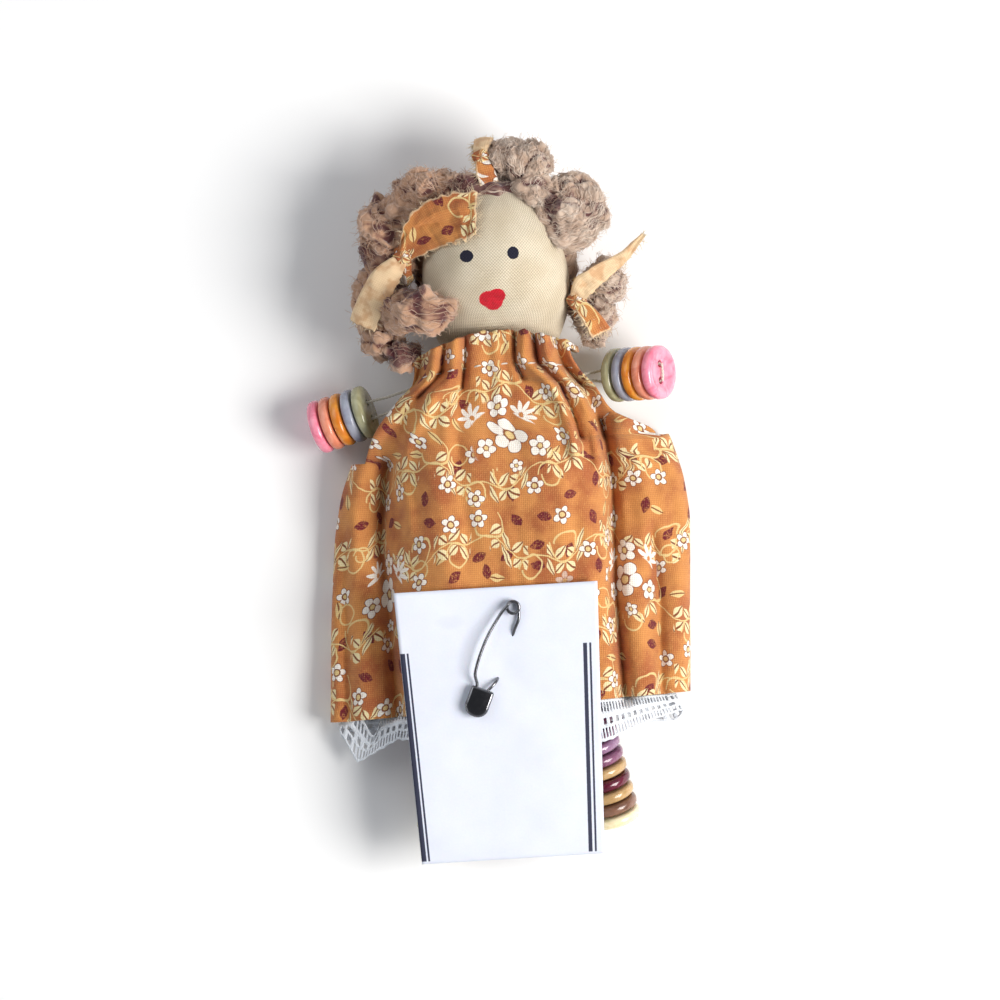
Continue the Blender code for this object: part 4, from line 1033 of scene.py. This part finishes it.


# Ties: loop middle, loop axis, loop radius, knot, and for each tail its points (middle, half width across),
# whether it lies folded lengthwise and whether its unprinted side is up
TIES = {
    "top_tie": (
        (-1.2, 71.2, 20.2), (1.0, 0.15, 0.0), 4.0, (-1.6, 72.6, 24.0),
        (
            ((-1.6, 72.6, 24.0, 1.2, 0.4, 0.3), (-1.4, 74.6, 23.4, 1.8, 0.4, 0.2), (-0.6, 76.4, 20.4, 2.0, 0.2, 0.3)),
            True, True,
        ),
        (
            ((-1.6, 72.6, 24.0, 1.0, 0.5, 0.1), (-1.0, 69.9, 25.0, 1.9, 0.3, 0.1), (-0.2, 66.4, 24.4, 2.2, 0.5, -0.3)),
            True, False,
        ),
    ),
    "left_tie": (
        (18.4, 39.4, 16.5), (1.0, 0.05, 0.0), 4.3, (17.6, 39.3, 21.4),
        (
            (
                (17.2, 39.3, 21.4, -0.8, 1.0, 0.5), (19.6, 42.6, 23.6, -1.7, 1.7, 0.9),
                (23.4, 45.2, 23.4, -1.2, 1.5, 0.8), (28.6, 48.2, 21.4, -0.6, 1.1, 0.3),
                (33.4, 52.8, 18.8, -0.3, 0.3, 0.1),
            ),
            True, True,
        ),
        (
            ((17.6, 39.3, 21.4, 0.9, 0.4, 0.3), (20.2, 36.0, 22.2, 1.8, 0.8, -0.3), (22.9, 31.6, 20.8, 2.2, 0.9, -0.5)),
            True, False,
        ),
    ),
    "right_tie": (
        (-20.4, 50.4, 18.5), (1.0, 0.1, 0.0), 4.4, (-20.6, 51.2, 23.4),
        (
            (
                (-20.6, 51.2, 23.4, -0.8, 1.2, 0.2), (-16.8, 55.4, 26.4, -2.7, 3.2, 0.5),
                (-12.2, 58.2, 28.8, -2.7, 4.8, -1.0), (-7.6, 59.4, 30.2, -1.3, 5.2, -1.3),
                (-3.4, 60.0, 31.2, 0.5, 4.6, -1.7),
            ),
            False, False,
        ),
        (
            (
                (-20.6, 51.2, 23.4, -1.1, 0.7, 0.0), (-24.2, 47.4, 25.4, -2.6, 1.6, 0.2),
                (-27.6, 42.4, 23.2, -2.8, 1.7, -0.3), (-30.6, 36.6, 20.6, -2.8, 1.5, -0.6),
            ),
            True, True,
        ),
    ),
}


def make_tail(name, points, folded, materials, seed):
    """A tail of torn cloth, with its fray. Gives the piece, its threads and its cut width and length in mm."""
    columns, rows = 30, 56
    spine = through(points, rows + 1)
    middle, half = spine[:, :3], spine[:, 3:]
    ahead = np.gradient(middle, axis=0)
    length = float(np.linalg.norm(np.diff(middle, axis=0), axis=1).sum())
    normal = np.cross(ahead, half)
    normal *= np.sign(normal[:, 2:3].mean()) / np.linalg.norm(normal, axis=1, keepdims=True)
    wide = 2 * float(np.linalg.norm(half, axis=1).mean()) * (1.9 if folded else 1.08)
    edges = {}

    def place(s, t):
        if folded:
            bend = 0.54
            across = 1.0 - np.sqrt(((s - bend) * 2 / bend) ** 2 + 0.004)
            lift = 0.45 * np.tanh((bend - s) * 16)
        else:
            across = 2 * s - 1
            lift = 0.0 * s
        run = t * length
        fray = 0.16 * ripples(run, run * 0 + s.round() * 9, 2.6, seed) + 0.07 * ripples(run, run * 0, 0.8, seed + 1)
        across = across + fray * (np.exp(-s / 0.06) - np.exp(-(1 - s) / 0.06)) * 0.6
        wave = np.clip(t * 5, 0, 1)
        lift = lift + wave * (0.34 * ripples(s * wide, run, 5.0, seed + 2) + 0.14 * ripples(s * wide, run, 2.2, seed + 3))
        if not folded:
            crease = np.abs(across * 4 + (t - 0.45) * 8 - 0.4)
            lift = lift - 0.9 * np.exp(-crease / 0.8) + 0.8 * np.exp(-np.abs(across * 4 - 2.6 + t * 2) / 0.9)
        run_end = 0.5 * np.clip((t - 0.93) / 0.07, 0, 1) * ripples(s * wide, s * 0, 1.3, seed + 4)
        point = [
            middle[:, k][:, None] + half[:, k][:, None] * across + normal[:, k][:, None] * lift
            + ahead[:, k][:, None] * run_end
            for k in range(3)
        ]
        edges["points"] = np.stack(point, axis=-1)
        return (*point, s * wide + seed * 7.3, run + seed * 11.1)

    def torn(s, t):
        return np.exp(-np.minimum(np.minimum(s, 1 - s) * wide, (1 - t) * length) / 0.55)

    tail = lattice_sheet(name, columns, rows, place, materials, closed=False, torn=torn)
    thickened(tail, 0.36, reverse=True)
    chance = random.Random(seed)
    grid = edges["points"]
    strands = []
    for line, inner in ((grid[:, 0], grid[:, 2]), (grid[:, -1], grid[:, -3]), (grid[-1], grid[-3])):
        for _ in range(34):
            i = chance.randrange(len(line))
            outward = Vector(line[i] - inner[i]).normalized()
            start = Vector(line[i]) - outward * 0.25
            sway = Vector([chance.uniform(-0.6, 0.6) for _ in range(3)])
            reach = chance.uniform(0.5, 1.5)
            strands.append([start, start + (outward + sway * 0.3) * reach * 0.5, start + (outward + sway) * reach])
    return tail, strands, wide, length


def make_tie_band(name, tie, finish):
    """The crumpled loop of a tie round its bunch of hair, and its knot."""
    middle, axis, radius, knot = (np.array(part, float) for part in tie[:4])
    axis = axis / np.linalg.norm(axis)
    side = np.cross(axis, (0.0, 0.0, 1.0))
    side /= np.linalg.norm(side)
    up = np.cross(side, axis)

    def loop_place(s, t):
        turn, round_it = s * TURN, t * TURN
        thick = 0.95 + 0.16 * np.cos(round_it * 5 + 0.7 * np.sin(turn * 3)) + 0.1 * np.cos(turn * 7 + round_it * 2)
        out = float(radius) + thick * np.cos(round_it)
        flat = 1.5 * thick * np.sin(round_it)
        x, y, z = (
            middle[k] + out * (np.cos(turn) * side[k] + np.sin(turn) * up[k]) + flat * axis[k] for k in range(3)
        )
        return x, y, z, turn * float(radius), round_it * 1.6

    def knot_place(s, t):
        turn, tilt = s * TURN, (t - 0.5) * math.pi
        swell = 1 + 0.10 * np.cos(turn * 4 + np.sin(tilt * 3)) * np.cos(tilt) + 0.06 * np.cos(tilt * 9 + turn)
        swell = swell - 0.28 * np.exp(-(((tilt - 0.35 * np.sin(turn)) / 0.22) ** 2)) * np.cos(tilt)
        x = knot[0] + 2.1 * swell * np.cos(tilt) * np.cos(turn)
        y = knot[1] + 2.0 * swell * np.cos(tilt) * np.sin(turn)
        z = knot[2] + 1.8 * swell * np.sin(tilt)
        return x, y, z, turn * 2.0, tilt * 2.0

    loop = lattice_sheet(f"{name}_loop", 72, 20, loop_place, [finish], seam=True)
    ball = lattice_sheet(f"{name}_ball", 48, 32, knot_place, [finish], seam=True)
    return loop, ball


WOOL = {
    # name: lumps (middle, radii), swirl axis, strands, strand length
    "hair_topknot": (
        (((9.0, 70.6, 20.5), (5.2, 4.6, 6.2)), ((3.4, 70.8, 20.3), (5.0, 4.6, 5.4)), ((6.2, 70.9, 21.2), (4.8, 5.0, 6.0))),
        (1.0, 0.1, 0.2), 240, 12.0,
    ),
    "hair_left_curls": (
        (((17.0, 59.0, 21.0), (9.0, 8.4, 7.0)), ((10.0, 64.6, 24.0), (4.2, 3.4, 3.4))),
        (0.3, 0.5, 1.0), 300, 13.0,
    ),
    "hair_right_curls": (
        (
            ((-14.5, 64.5, 19.5), (8.0, 6.0, 6.2)), ((-20.4, 61.0, 17.4), (5.2, 4.8, 5.4)),
            ((-6.6, 66.4, 22.6), (4.4, 3.0, 3.4)),
        ),
        (-0.2, 0.9, 0.8), 300, 13.0,
    ),
    "left_pigtail": (
        (
            ((18.6, 39.4, 16.5), (3.4, 3.2, 3.2)), ((24.6, 43.2, 16.0), (5.2, 5.0, 5.6)),
            ((21.4, 34.6, 14.6), (4.6, 5.6, 6.0)),
        ),
        (0.4, 1.0, 0.3), 240, 11.0,
    ),
    "right_pigtail": (
        (
            ((-20.4, 50.0, 18.5), (3.6, 3.4, 3.4)), ((-25.4, 56.0, 16.6), (5.6, 8.6, 7.0)),
            ((-26.0, 41.0, 14.4), (6.0, 9.6, 7.0)), ((-16.0, 38.6, 27.6), (7.4, 4.8, 3.6)),
            ((-21.4, 39.6, 21.0), (4.6, 5.0, 7.0)), ((-21.4, 29.6, 19.6), (4.4, 3.2, 3.2)),
            ((-26.6, 32.6, 15.6), (4.0, 4.0, 5.0)),
        ),
        (0.5, 1.0, 0.5), 360, 13.0,
    ),
}
CRIMP = 2.2
# Where dark maroon shade is painted on the wool: middle x, y and half sizes
WOOL_PAINTED_SHADE = (
    (-3.6, 66.4, 6.6, 2.7), (-22.8, 48.2, 3.0, 4.2), (-18.6, 43.8, 2.6, 2.6), (-22.0, 29.8, 4.6, 3.2),
    (-30.4, 51.6, 2.2, 3.0), (17.6, 36.2, 1.8, 2.0), (13.6, 60.8, 2.2, 2.4),
)


def wool_fields(point, middle, axis):
    """Where a point lies in the crimped wool round an axis: how far round, how far along, both in mm."""
    rel = point - middle
    along = rel.dot(axis)
    flat = rel - axis * along
    first = axis.orthogonal().normalized()
    second = axis.cross(first)
    turn = math.atan2(flat.dot(second), flat.dot(first))
    return turn * 6.5, along


def crimp(piece, middle, axis, deep=1.0):
    """Works crimped rows and locks into a mass of wool, and keeps their depth for its colour: painted shade in the
    grooves and painted highlight on the tops.
    """
    mesh = piece.data
    depth = mesh.attributes.new("depth", "FLOAT", "POINT")
    values = []
    outward = [vert.normal.copy() for vert in mesh.vertices]
    for vert, normal in zip(mesh.vertices, outward):
        p = vert.co / MM
        warp = noise.noise_vector(p * 0.25) * 1.8
        round_it, along = wool_fields(p + warp, middle, axis)
        locks = min(1.0, abs(noise.noise(Vector((round_it * 0.13, along * 0.34, p.z * 0.1)))) * 2.6)
        wave = math.sin(round_it * TURN / CRIMP)
        rows = math.sin((along + 0.30 * wave) * TURN / 1.05 + 2.5 * noise.noise(p * 0.45))
        height = 0.50 * locks + 0.30 * (0.5 + 0.5 * rows) * (0.3 + 0.7 * locks) + 0.20 * (0.5 + 0.5 * wave)
        swell = noise.noise(p * 0.21) * 1.5 + noise.noise(p * 0.5) * 0.5
        vert.co += normal * ((height - 0.60) * 1.6 + swell) * deep * MM
        values.append(height)
    depth.data.foreach_set("value", values)
    mesh.shade_smooth()


def wool_strands(name, piece, middle, axis, count, length, seed, material, shown=lambda p: p.z > 4.0):
    """Crimped strands that lie along a mass of wool, in step with each other, and a fuzz of fine fibres."""
    made = bmesh.new()
    made.from_mesh(piece.data)
    tree = BVHTree.FromBMesh(made)
    made.faces.ensure_lookup_table()
    faces = made.faces
    chance = random.Random(seed)
    paths, fuzz = [], []
    step = 0.58
    tries = 0
    while len(paths) < count and tries < count * 30:
        tries += 1
        p = faces[chance.randrange(len(faces))].calc_center_median() / MM
        if not shown(p):
            continue
        spin = chance.choice((-1, 1))
        lean = chance.uniform(-0.25, 0.25)
        rise = chance.uniform(0.0, 0.35) ** 1.5
        path = []
        steps = int(length * chance.uniform(0.3, 1.0) / step)
        loose = chance.random() < 0.3
        drift = Vector((0, 0, 0))
        for i in range(steps):
            near, normal, _, _ = tree.find_nearest(p * MM)
            near = near / MM
            round_it, _ = wool_fields(p, middle, axis)
            flow = axis.cross(p - middle)
            if flow.length < 0.5:
                break
            flow = (flow.normalized() * spin + axis * lean + noise.noise_vector(p * 0.22) * 0.5).normalized()
            flow = (flow - normal * flow.dot(normal)).normalized()
            side = normal.cross(flow)
            phase = round_it * TURN / CRIMP
            if loose:
                drift += (normal * 0.22 + side * 0.1) * max(0.0, i / steps - 0.6) / 0.4
            off = 0.10 + rise + 0.13 * math.sin(phase)
            path.append(near + normal * off + side * 0.22 * math.cos(phase) + drift)
            p = near + flow * step
        if len(path) > 5:
            paths.append(path)
    tries = 0
    while len(fuzz) < count * 3.2 and tries < count * 40:
        tries += 1
        face = faces[chance.randrange(len(faces))]
        p = face.calc_center_median() / MM
        if not shown(p):
            continue
        flow = axis.cross(p - middle) * chance.choice((-1, 1))
        sway = Vector([chance.uniform(-1, 1) for _ in range(3)])
        way = (flow.normalized() * 0.9 + face.normal * chance.uniform(0.15, 0.9) + sway * 0.5).normalized()
        bend = Vector([chance.uniform(-1, 1) for _ in range(3)]) * 0.3 - face.normal * 0.16
        path = []
        q = p.copy()
        for _ in range(chance.randint(5, 7)):
            path.append(q.copy())
            way = (way + bend + sway.cross(way) * 0.25).normalized()
            q += way * 0.46
        fuzz.append(path)
    made.free()
    strands = wire(f"{name}_strands", paths, 0.085, material, sides=0, ends=0.35)
    hairs = wire(f"{name}_fuzz", fuzz, 0.04, material, sides=0, ends=0.4)
    return strands, hairs


def wool(name, dark, mid, light, warm, kept=None):
    finish = Finish(name, roughness=0.9, sheen_weight=0.5, sheen_roughness=0.5, specular_ior_level=0.12)
    place = finish.place()
    x, y, z = finish.split(place)
    patch = finish.noise(place, 3.0, 2.0)
    hair = finish.noise(place, 0.3, 3.0, 0.7)
    colour = finish.mix(patch.step(0.36, 0.66), mid, light)
    colour = finish.mix(x.step(6.0, -14.0) * 0.75, colour, warm)
    # dark maroon painted shade on the listed spots of the wool
    shade = None
    for cx, cy, wide, high in WOOL_PAINTED_SHADE:
        near = ((x - cx) / wide) ** 2.0 + ((y - cy) / high) ** 2.0 + (patch - 0.5) * 1.6
        shade = near if shade is None else shade.least(near)
    shade = shade.step(1.15, 0.6) * z.step(11.0, 15.0)
    colour = finish.mix(shade * 0.88, colour, dark)
    if kept:
        # painted shade deep in the grooves between the rows, and painted highlight on the fibres of their tops
        depth = finish.attribute(kept)
        colour = finish.mix(depth.step(0.46, 0.12) * 0.9, colour, dark)
        colour = finish.mix(hair.step(0.4, 0.75) * depth.step(0.4, 0.8) * 0.45, colour, light)
    else:
        colour = finish.mix(hair.step(0.45, 0.75) * 0.45, colour, dark)
    finish.paint("Base Color", colour)
    finish.paint("Normal", finish.bump(hair, 0.12))
    return finish.material


def join_lumps(name, shapes, seed, material):
    """Lumps of wool as one mass, with smaller tufts on them."""
    chance = random.Random(seed)
    made = bmesh.new()
    for middle, radii in shapes:
        middle, radii = Vector(middle), Vector(radii)
        tufts = [(middle, radii)]
        for _ in range(14):
            way = Vector([chance.gauss(0, 1) for _ in range(3)]).normalized()
            size = chance.uniform(0.24, 0.46)
            out = Vector([way[k] * radii[k] * (1 - size * 0.72) for k in range(3)])
            tufts.append((middle + out, radii * size))
        for spot, size in tufts:
            ball = bmesh.ops.create_icosphere(made, subdivisions=3, radius=1.0)
            for vert in ball["verts"]:
                swell = 1 + 0.12 * noise.noise(vert.co * 1.7 + spot * 0.37)
                vert.co = Vector([(spot[k] + vert.co[k] * size[k] * swell) * MM for k in range(3)])
    mass = new_piece(f"{name}_wool", made, [material])
    joined = mass.modifiers.new("joined", "REMESH")
    joined.mode = "VOXEL"
    joined.voxel_size = 0.36 * MM
    return settle(mass)


def cap_form(material):
    """A cap of wool round the back and top of the head. In front of the hairline and below the nape it runs
    on inside the muslin."""
    made = bmesh.new()
    bmesh.ops.create_uvsphere(made, u_segments=110, v_segments=110, radius=1.0)
    table = [(BODY_TOP, 18.9, 0.0, 0.0)] + [(y, z, w * w, d * d) for y, z, w, d in BODY_SECTIONS[:9]]
    sections = section_reader(table)
    (y0, z0), (y1, z1) = (34.0, 9.0), (68.0, 27.5)
    for vert in made.verts:
        share = math.acos(max(-1.0, min(1.0, vert.co.z))) / math.pi
        turn = math.atan2(vert.co.y, vert.co.x)
        y = BODY_TOP + (32.0 - BODY_TOP) * (0.5 - 0.5 * math.cos(math.pi * share))
        middle, wide, deep = sections(y)
        closing = min(1.0, max(0.0, (y - 32.0) / 1.2))
        wide, deep = (math.sqrt(max(value, 0.0)) * closing for value in (wide, deep))
        point = Vector((wide * math.cos(turn), y, middle + deep * math.sin(turn)))
        behind = z0 + (z1 - z0) * (y - y0) / (y1 - y0) - point.z + 0.9 * math.sin(point.x * 0.9) + 0.8
        grow = -1.2 + 3.3 * min(1.0, max(0.0, behind / 1.8 + 0.35)) * min(1.0, max(0.0, (y - 33.6) / 1.5))
        outward = Vector((math.cos(turn) / max(wide, 4), 0.0, math.sin(turn) / max(deep, 4))).normalized()
        cap = min(1.0, max(0.0, (y - 56.0) / 10.0))
        outward = (outward * (1 - cap) + Vector((0, 1, 0)) * cap).normalized()
        vert.co = (point + outward * grow) * MM
        vert.co.z = max(vert.co.z, 0.9 * MM)
    bmesh.ops.recalc_face_normals(made, faces=made.faces)
    cap = new_piece("hair_cap_wool", made, [material])
    closed = cap.modifiers.new("closed", "REMESH")
    closed.mode = "VOXEL"
    closed.voxel_size = 0.5 * MM
    return settle(cap)


def build_hair():
    dark, warm = (0.085, 0.018, 0.026), (0.50, 0.27, 0.155)
    masses = wool("wool", dark, (0.46, 0.32, 0.235), (0.62, 0.48, 0.38), warm, "depth")
    fibres = wool("wool_fibres", (0.30, 0.17, 0.12), (0.60, 0.45, 0.35), (0.80, 0.67, 0.56), (0.62, 0.38, 0.25))
    for i, (name, (shapes, axis, count, length)) in enumerate(WOOL.items()):
        mass = join_lumps(name, shapes, i + 1, masses)
        middle = Vector(shapes[0][0]).lerp(Vector(shapes[-1][0]), 0.5)
        axis = Vector(axis).normalized()
        crimp(mass, middle, axis)
        for piece in (mass, *wool_strands(name, mass, middle, axis, count, length, i + 1, fibres)):
            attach(piece, "doll")
            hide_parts(name)
    cap = cap_form(masses)
    middle, axis = Vector((0, 48, 16)), Vector((0.15, 0.4, 1)).normalized()
    crimp(cap, middle, axis, 0.45)

    def behind_hairline(p):
        return p.z < 10.0 + 18.5 * (p.y - 34.0) / 34.0 and p.z > 8.0

    for piece in (cap, *wool_strands("hair_crown", cap, middle, axis, 300, 9.0, 9, fibres, behind_hairline)):
        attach(piece, "doll")
        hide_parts("hair_crown")


def build_ties(cotton, reverse, thread):
    for i, (name, tie) in enumerate(TIES.items()):
        fray = []
        for k, (points, folded, turned) in enumerate(tie[4:]):
            seed = 10 * i + k + 3
            faces = [reverse, cotton] if turned else [cotton, reverse]
            tail, strands, wide, length = make_tail(f"{name}_tail_{k + 1}", points, folded, faces, seed)
            fray = wire(f"{name}_fray_{k + 1}", strands, 0.07, thread, sides=0, ends=0.4)
            parts = [fray]
            if k == 0:
                parts += make_tie_band(name, tie, cotton)
            for piece in (tail, *parts):
                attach(piece, "doll")
                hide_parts(name)
            flat = (max(10.0, wide), max(10.0, length))
            flat[0] * MM
            flat[1] * MM
            wide * length * MM * MM


# The card's front from its top edge down, and the short leaf folded up behind it: y, z
CARD_FRONT = ((-23.8, 21.1), (-37.0, 19.8), (-50.0, 18.7), (-62.0, 17.6), (-74.0, 16.7), (-84.2, 16.2))
CARD_BACK = ((-84.2, 14.8), (-76.0, 14.9), (-68.5, 15.2))


def card_place(s, t):
    front = [(y, z) for y, z in CARD_FRONT]
    turn = [(-84.2 - 0.7 * math.sin(a), 15.5 + 0.7 * math.cos(a)) for a in np.linspace(0, math.pi, 9)[1:-1]]
    path = np.array(front + turn + list(CARD_BACK))
    run = np.concatenate(([0], np.cumsum(np.linalg.norm(np.diff(path, axis=0), axis=1))))
    front_length = run[len(front) - 1]
    # rows crowd at the fold
    share = np.where(t < 0.7, t / 0.7 * front_length, front_length + (t - 0.7) / 0.3 * (run[-1] - front_length))
    share = np.where((t >= 0.7) & (t < 0.85), front_length + (t - 0.7) / 0.15 * 2.2, share)
    share = np.where(t >= 0.85, front_length + 2.2 + (t - 0.85) / 0.15 * (run[-1] - front_length - 2.2), share)
    y, z = np.interp(share, run, path[:, 0]), np.interp(share, run, path[:, 1])
    down = (-23.8 - y) / (84.2 - 23.8)
    left, right = -27.2 + 2.6 * down, 18.6 - 2.0 * down
    x = left + (right - left) * s
    on_front = np.clip((front_length - share) / 6.0, 0, 1)
    sag = 0.5 * np.exp(-(((x + 3.0) / 5.0) ** 2 + ((y + 41.0) / 6.0) ** 2))
    z = z + on_front * (0.26 * ripples(x, y, 26.0, 51) - sag)
    return x, y, z, x - (left + right) / 2, -share


def card_paper():
    finish = Finish("card_paper", roughness=0.55, specular_ior_level=0.35, subsurface_weight=0.05, subsurface_scale=0.0005)
    x, y, z = finish.split(finish.place())
    u, v, _ = finish.split(finish.cloth())
    grain = finish.noise(finish.join(u, v), 0.5, 3.0)
    cloud = (finish.noise(finish.join(u, v), 9.0, 3.0) * 1.3 + grain * 0.5 - 0.4)
    colour = finish.mix(cloud, (0.79, 0.82, 0.90), (0.70, 0.73, 0.85))
    down = (-23.8 - y) / 60.4
    right_edge, left_edge = -27.2 + 2.6 * down, 18.6 - 2.0 * down
    inked = (v + 0.0).step(-58.9, -59.0)
    edge_noise = (grain - 0.5) * 0.08
    printed = (right_edge * 0 + y).step(-37.4, -37.6) * (v).step(-60.9, -60.7)
    for near, far, side in ((0.05, 1.15, 1), (1.5, 1.95, 1), (1.75, 2.2, -1), (2.7, 3.6, -1)):
        from_edge = (x - right_edge if side > 0 else left_edge - x) + edge_noise
        line = from_edge.step(near - 0.06, near + 0.06) * from_edge.step(far + 0.06, far - 0.06)
        colour = finish.mix(line * printed * 0.97, colour, (0.012, 0.014, 0.045))
    # a faint bluish grey patch on the card, left of the pin's arm
    grey_patch = ((x + 15.0) / 4.0) ** 2.0 + ((y + 31.0) / 2.0) ** 2.0
    colour = finish.mix(grey_patch.step(1.0, 0.0) * 0.12, colour, (0.45, 0.45, 0.55))
    finish.paint("Base Color", colour)
    finish.paint("Normal", finish.bump(grain, 0.02))
    return finish.material


# The pin: the middle of its cap, and the way that its cap points in plan
PIN_CAP = Vector((-9.7, -49.4, 20.35))
PIN_WAY = Vector((-9.2, -21.2, 0)).normalized()


def pin_path():
    """The pin's bent wire, from inside its cap round the coil and down through card and cloth to its cap."""
    out = PIN_WAY
    across = Vector((0, 0, 1)).cross(out)
    cap = PIN_CAP
    lift = Vector((0, 0, 1))
    path = [
        cap - across * 1.45 + out, cap - across * 1.55 - out * 3.4 + lift * 0.2,
        Vector((-9.9, -42.4, 21.6)), Vector((-7.3, -35.8, 22.3)), Vector((-3.9, -30.4, 22.4)),
    ]
    start = math.atan2(-across.y, -across.x)
    for i in range(31):
        angle = start - TURN * 1.5 * i / 30
        ring = Vector((math.cos(angle), math.sin(angle), 0)) * 1.35
        path.append(Vector((-0.6, -28.6, 21.3)) + ring + lift * 0.95 * 1.5 * (1 - i / 30))
    path += [
        Vector(p)
        for p in (
            (0.5, -31.2, 21.2), (-0.6, -33.6, 20.6), (-1.5, -36.0, 18.6), (-2.3, -38.6, 17.25),
            (-3.3, -41.2, 16.85), (-4.5, -43.2, 17.4), (-5.6, -45.2, 20.2),
        )
    ]
    return path + [cap + across * 0.95 - out * 2.6 + lift * 0.15, cap + across * 0.85 + out]


def build_pin():
    steel = Finish("pin_steel", metallic=1.0, roughness=0.14)
    scuff = steel.noise(steel.place(), 0.8, 3.0)
    # the steel's colour is dark as painted reflection of the dim room round the pin; the scuffs vary it
    steel.paint("Base Color", steel.mix(scuff, (0.26, 0.26, 0.275), (0.15, 0.15, 0.16)))
    steel.paint("Roughness", 0.10 + scuff * 0.2)
    path = [Vector(p) for p in through([tuple(p) for p in pin_path()], 420)]
    bent = wire("pin_bent_wire", [path], 0.36, steel.material, sides=5)
    made = bmesh.new()
    bmesh.ops.create_cube(made, size=1.0)
    bmesh.ops.scale(made, vec=(5.4, 6.6, 2.1), verts=made.verts)
    corners = [
        e for e in made.edges
        if abs(e.verts[0].co.z - e.verts[1].co.z) > 1 and min(e.verts[0].co.y, e.verts[1].co.y) > 0
    ]
    bmesh.ops.bevel(made, geom=corners, offset=2.55, offset_type="OFFSET", segments=10, profile=0.5, affect="EDGES")
    near = [e for e in made.edges if all(abs(abs(v.co.z) - 1.05) < 0.01 for v in e.verts)]
    bmesh.ops.bevel(made, geom=near, offset=0.62, offset_type="OFFSET", segments=4, profile=0.5, affect="EDGES")
    out = PIN_WAY
    across = Vector((0, 0, 1)).cross(out)
    turn = Matrix((-across, out, Vector((0, 0, 1)))).transposed().to_4x4()
    place = Matrix.Translation(PIN_CAP) @ turn @ Matrix.Rotation(math.radians(-4), 4, "X")
    bmesh.ops.transform(made, matrix=Matrix.Scale(MM, 4) @ place, verts=made.verts)
    bmesh.ops.recalc_face_normals(made, faces=made.faces)
    cap = new_piece("pin_pressed_cap", made, [steel.material])
    for piece, node in ((bent, "pin_wire"), (cap, "pin_cap")):
        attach(piece, "doll")
        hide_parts(node)


def build_stage():
    floor_finish = Finish("pale_floor", roughness=0.9, specular_ior_level=0.1)
    floor_finish.paint("Base Color", (0.95, 0.95, 0.95))
    made = bmesh.new()
    bmesh.ops.create_grid(made, x_segments=1, y_segments=1, size=2.5)
    floor = new_piece("floor", made, [floor_finish.material])

    # the room: dim overhead, bright round the sides
    world = bpy.data.worlds.new("studio")
    bpy.context.scene.world = world
    world.use_nodes = True
    nodes, links = world.node_tree.nodes, world.node_tree.links
    place = nodes.new("ShaderNodeTexCoord")
    parts = nodes.new("ShaderNodeSeparateXYZ")
    ramp = nodes.new("ShaderNodeValToRGB")
    links.new(place.outputs["Generated"], parts.inputs[0])
    links.new(parts.outputs["Z"], ramp.inputs[0])
    links.new(ramp.outputs[0], nodes["Background"].inputs["Color"])
    ramp.color_ramp.elements[0].color = (0.50, 0.52, 0.56, 1)
    ramp.color_ramp.elements[1].color = (0.13, 0.135, 0.15, 1)
    for position, colour in ((0.35, (0.95, 0.97, 1.0, 1)), (0.72, (0.80, 0.83, 0.88, 1)), (0.90, (0.16, 0.165, 0.18, 1))):
        ramp.color_ramp.elements.new(position).color = colour
    nodes["Background"].inputs["Strength"].default_value = 0.50
    for name, spot, size, power, tint in (
        ("key", (0.62, -0.16, 0.60), 0.48, 9.7, (1.0, 0.98, 0.95)),
        ("fill", (-0.6, 0.5, 0.75), 0.8, 2.8, (0.94, 0.97, 1.0)),
    ):
        light = bpy.data.lights.new(name, "AREA")
        light.size = size
        light.energy = power
        light.color = tint
        lamp = bpy.data.objects.new(name, light)
        lamp.location = spot
        lamp.rotation_mode = "QUATERNION"
        lamp.rotation_quaternion = (-Vector(spot)).to_track_quat("-Z", "Y")
        bpy.context.scene.collection.objects.link(lamp)


# The camera looks straight down, turned a little against the doll
VIEW_MIDDLE = Vector((-2.07, -4.38, 12.0))
VIEW_WIDTH = 225.0
VIEW_DISTANCE = 2400.0
VIEW_TURN = math.atan2(-0.061, 0.998)


def build_camera():
    data = bpy.data.cameras.new("camera")
    data.sensor_width = 36.0
    data.lens = data.sensor_width * VIEW_DISTANCE / VIEW_WIDTH
    data.clip_start = 0.01
    camera = bpy.data.objects.new("camera", data)
    camera.location = (VIEW_MIDDLE + Vector((0, 0, VIEW_DISTANCE))) * MM
    camera.rotation_euler = (0, 0, VIEW_TURN)
    bpy.context.scene.collection.objects.link(camera)
    bpy.context.scene.camera = camera


# without a seed of its own, the noise that bends the wool would follow the clock
noise.seed_set(5)

build_stage()
build_camera()
bpy.context.scene.view_settings.view_transform = "Standard"

cotton, reverse = printed_cotton(), cotton_reverse()
dress = make_dress(cotton, reverse)
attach(dress, "doll")
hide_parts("dress")

body = build_body(muslin())
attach(body, "doll")
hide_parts("body_cover")

thread = cotton_thread()
gather_stitches(dress, thread)
plastics = {name: plastic(f"plastic_{name}", *colours) for name, colours in PLASTICS.items()}
button_shape = master_button()
for limb in LIMBS:
    build_limb(limb, ARM_BUTTONS if "arm" in limb else LEG_BUTTONS, button_shape, plastics, thread)

build_hair()
build_ties(cotton, reverse, cotton_thread("torn_thread", (0.90, 0.71, 0.46)))

petticoat = lattice_sheet(
    "petticoat_cloth", 120, 30, petticoat_place,
    [plain_cloth("petticoat_cotton", (0.90, 0.93, 0.97), (0.72, 0.78, 0.88), 0.4)], seam=True,
)
thickened(petticoat, 0.4)
lace = make_lace(plain_cloth("lace_cotton", (0.95, 0.97, 1.0), (0.78, 0.86, 0.96), 0.35))
card = lattice_sheet("folded_card", 60, 80, card_place, [card_paper()], closed=False)
thickened(card, 0.28)
for piece, node, slot in (
    (petticoat, "petticoat", "petticoat_cotton"),
    (lace, "lace_trim", "lace"),
    (card, "card", "card_paper"),
):
    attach(piece, "doll")
    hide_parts(node)
build_pin()
